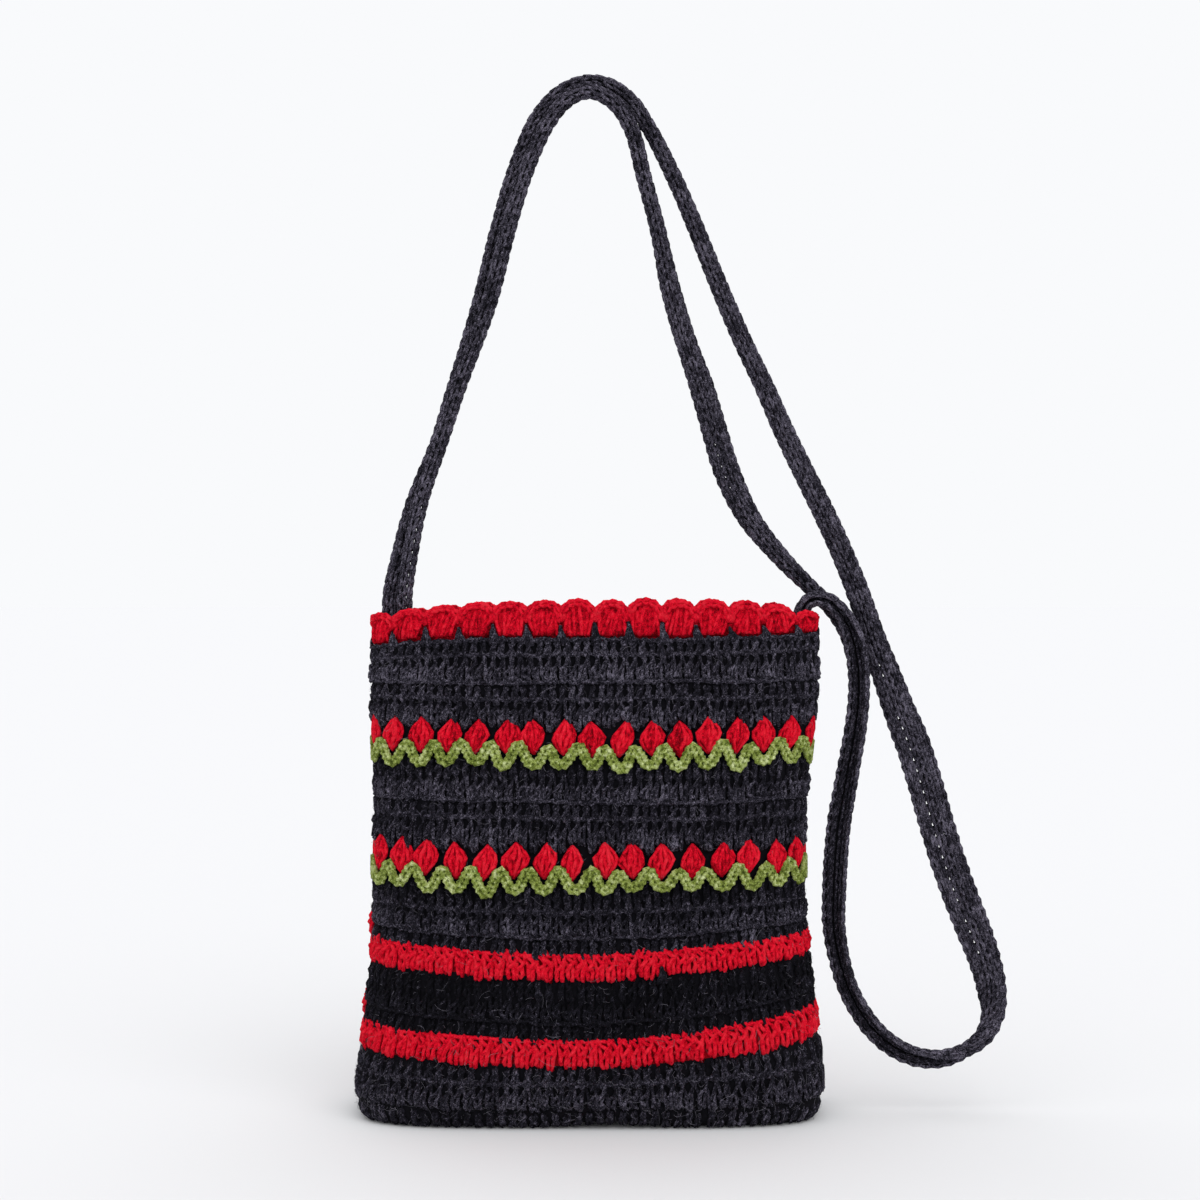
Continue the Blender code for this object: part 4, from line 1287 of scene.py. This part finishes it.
def inside_wool(name):
    """The wrong side of the rounds in charcoal wool: rows of small upright bumps, 4.2 mm apart, and a
    1.4 mm mottle."""
    material, tree, shader = new_material(name, {"Roughness": 0.95})
    place = add(tree, "UVMap", {"uv_map": "yarn"})
    parts = add(tree, "SeparateXYZ", links={0: place.outputs[0]})
    post = add(tree, "Math", {"operation": "MULTIPLY"}, {0: parts.outputs[0], 1: 2 * np.pi}).outputs[0]
    posts = add(tree, "Math", {"operation": "SINE"}, {0: post}).outputs[0]
    here = add(tree, "TexCoord").outputs["Object"]
    spot = add(tree, "TexNoise", links={0: here, "Scale": 700.0, "Detail": 3.0}).outputs[0]
    ramp = add(tree, "ValToRGB", links={0: spot})
    for stop, code, position in zip(ramp.color_ramp.elements, ("151418", "56525c"), (0.3, 0.8)):
        stop.color = hue(code)
        stop.position = position
    tree.links.new(ramp.outputs[0], shader.inputs["Base Color"])
    height = weighted_sum(tree, spot, [(posts, 0.6)])
    bump = add(tree, "Bump", links={"Strength": 0.9, "Distance": 0.0006, "Height": height})
    tree.links.new(bump.outputs[0], shader.inputs["Normal"])
    return material


def single_hair(name):
    """Single stray hairs of the wool: from charcoal to pale grey by their tone, and smoother than yarn."""
    material, tree, shader = new_material(name, {"Roughness": 0.7})
    tone = add(tree, "Attribute", {"attribute_name": "tone"}).outputs["Fac"]
    share = add(tree, "Math", {"operation": "ADD", "use_clamp": True}, {0: tone, 1: 0.5}).outputs[0]
    colour = add(tree, "Mix", {"data_type": "RGBA"}, {0: share, 6: hue("2a2830"), 7: hue("8e8a97")})
    tree.links.new(colour.outputs[2], shader.inputs["Base Color"])
    return material


def studio_paper(name, code):
    """Matt pale paper of a studio sweep, with no gloss."""
    finish = {"Base Color": hue(code), "Roughness": 1.0, "Specular IOR Level": 0.0}
    return new_material(name, finish)[0]


# --- studio -------------------------------------------------------------------------------------------


SENSOR_WIDTH = 36.0
CAMERA_X, CAMERA_DISTANCE, CAMERA_HEIGHT, FIELD_WIDTH = 2.3, 850.0, 231.4, 545.4


def make_camera():
    """A level camera in front of the bag, that sees a field FIELD_WIDTH wide at its middle plane."""
    camera = bpy.data.objects.new("camera", bpy.data.cameras.new("camera"))
    camera.location = (CAMERA_X * MM, -CAMERA_DISTANCE * MM, CAMERA_HEIGHT * MM)
    camera.rotation_euler = (np.radians(90), 0, 0)
    camera.data.sensor_width = SENSOR_WIDTH
    camera.data.lens = SENSOR_WIDTH * CAMERA_DISTANCE / FIELD_WIDTH
    camera.data.clip_start = 0.01
    bpy.context.scene.collection.objects.link(camera)
    bpy.context.scene.camera = camera


def make_light(name, elevation, azimuth, spread, strength):
    """Soft light from one side of the sky, this many degrees up and round from +X towards +Y."""
    light = bpy.data.lights.new(name, "SUN")
    light.angle = np.radians(spread)
    light.energy = strength
    made = bpy.data.objects.new(name, light)
    made.rotation_euler = (0, np.radians(90 - elevation), np.radians(azimuth))
    bpy.context.scene.collection.objects.link(made)


def make_studio():
    """A pale floor that meets an even pale sky, a broad soft key from the front right and a top light.

    The floor gives back sky x paper + key x paper, and its paint is chosen so that the sum is the sky."""
    world = bpy.data.worlds.new("studio")
    bpy.context.scene.world = world
    world.use_nodes = True
    background = world.node_tree.nodes["Background"]
    background.inputs["Color"].default_value = hue("f9fafc")
    background.inputs["Strength"].default_value = 1.0
    reach = 60.0
    corners = [(-reach, -reach, 0), (reach, -reach, 0), (reach, reach, 0), (-reach, reach, 0)]
    floor_mesh = bpy.data.meshes.new("floor")
    floor_mesh.from_pydata(corners, [], [(0, 1, 2, 3)])
    floor_mesh.materials.append(studio_paper("studio_paper", "ddddde"))
    floor = bpy.data.objects.new("floor", floor_mesh)
    bpy.context.scene.collection.objects.link(floor)
    make_light("key", elevation=48, azimuth=-58, spread=50, strength=0.75)
    make_light("top", elevation=75, azimuth=150, spread=80, strength=0.6)
    bpy.context.scene.view_settings.view_transform = "Standard"


# --- the bag ------------------------------------------------------------------------------------------


def main():
    chance = np.random.default_rng(SEED)
    make_camera()
    make_studio()
    charcoal = wool("charcoal_plied_wool", CHARCOAL_DYES, sheen=0.02, flecks=2.1, blotches=0.5)
    red = wool("red_plied_wool", RED_DYES, sheen=0.02, flecks=2.0, blotches=1.2)
    green = wool("green_plied_wool", GREEN_DYES, sheen=0.04, flecks=2.0, blotches=1.2)
    # Both grounds are painted darker than their yarn, as shade deep between the stitches.
    ground = ground_wool("charcoal_ground_wool", "15141a")
    red_ground = ground_wool("red_ground_wool", "b00418")
    cloth = make_bag_cloth(ground, red_ground, inside_wool("charcoal_wrong_side"))
    lower = make_rounds("lower_rounds", ROUNDS[:LOWER_ROUNDS], "charcoal", charcoal, chance)
    upper = make_rounds("upper_rounds", ROUNDS[LOWER_ROUNDS:], "charcoal", charcoal, chance)
    stripes = make_rounds("red_stripes", ROUNDS, "red", red, chance)
    spikes = make_spikes(charcoal, chance)
    hairs = make_hairs(single_hair("wool_hair"), chance)
    for row, base, shift in TULIP_ROWS:
        make_leaves(row, base, shift, green, chance)
        make_petals(row, base, shift, red, chance)
    make_edging(red, chance)
    materials = (ground, charcoal)
    make_strap("strap_long", LONG_RUN, "strap_long_run", 0, materials, chance)
    make_strap("strap_short", SHORT_RUN, "strap_short_run", OPEN_ROWS, materials, chance)


main()
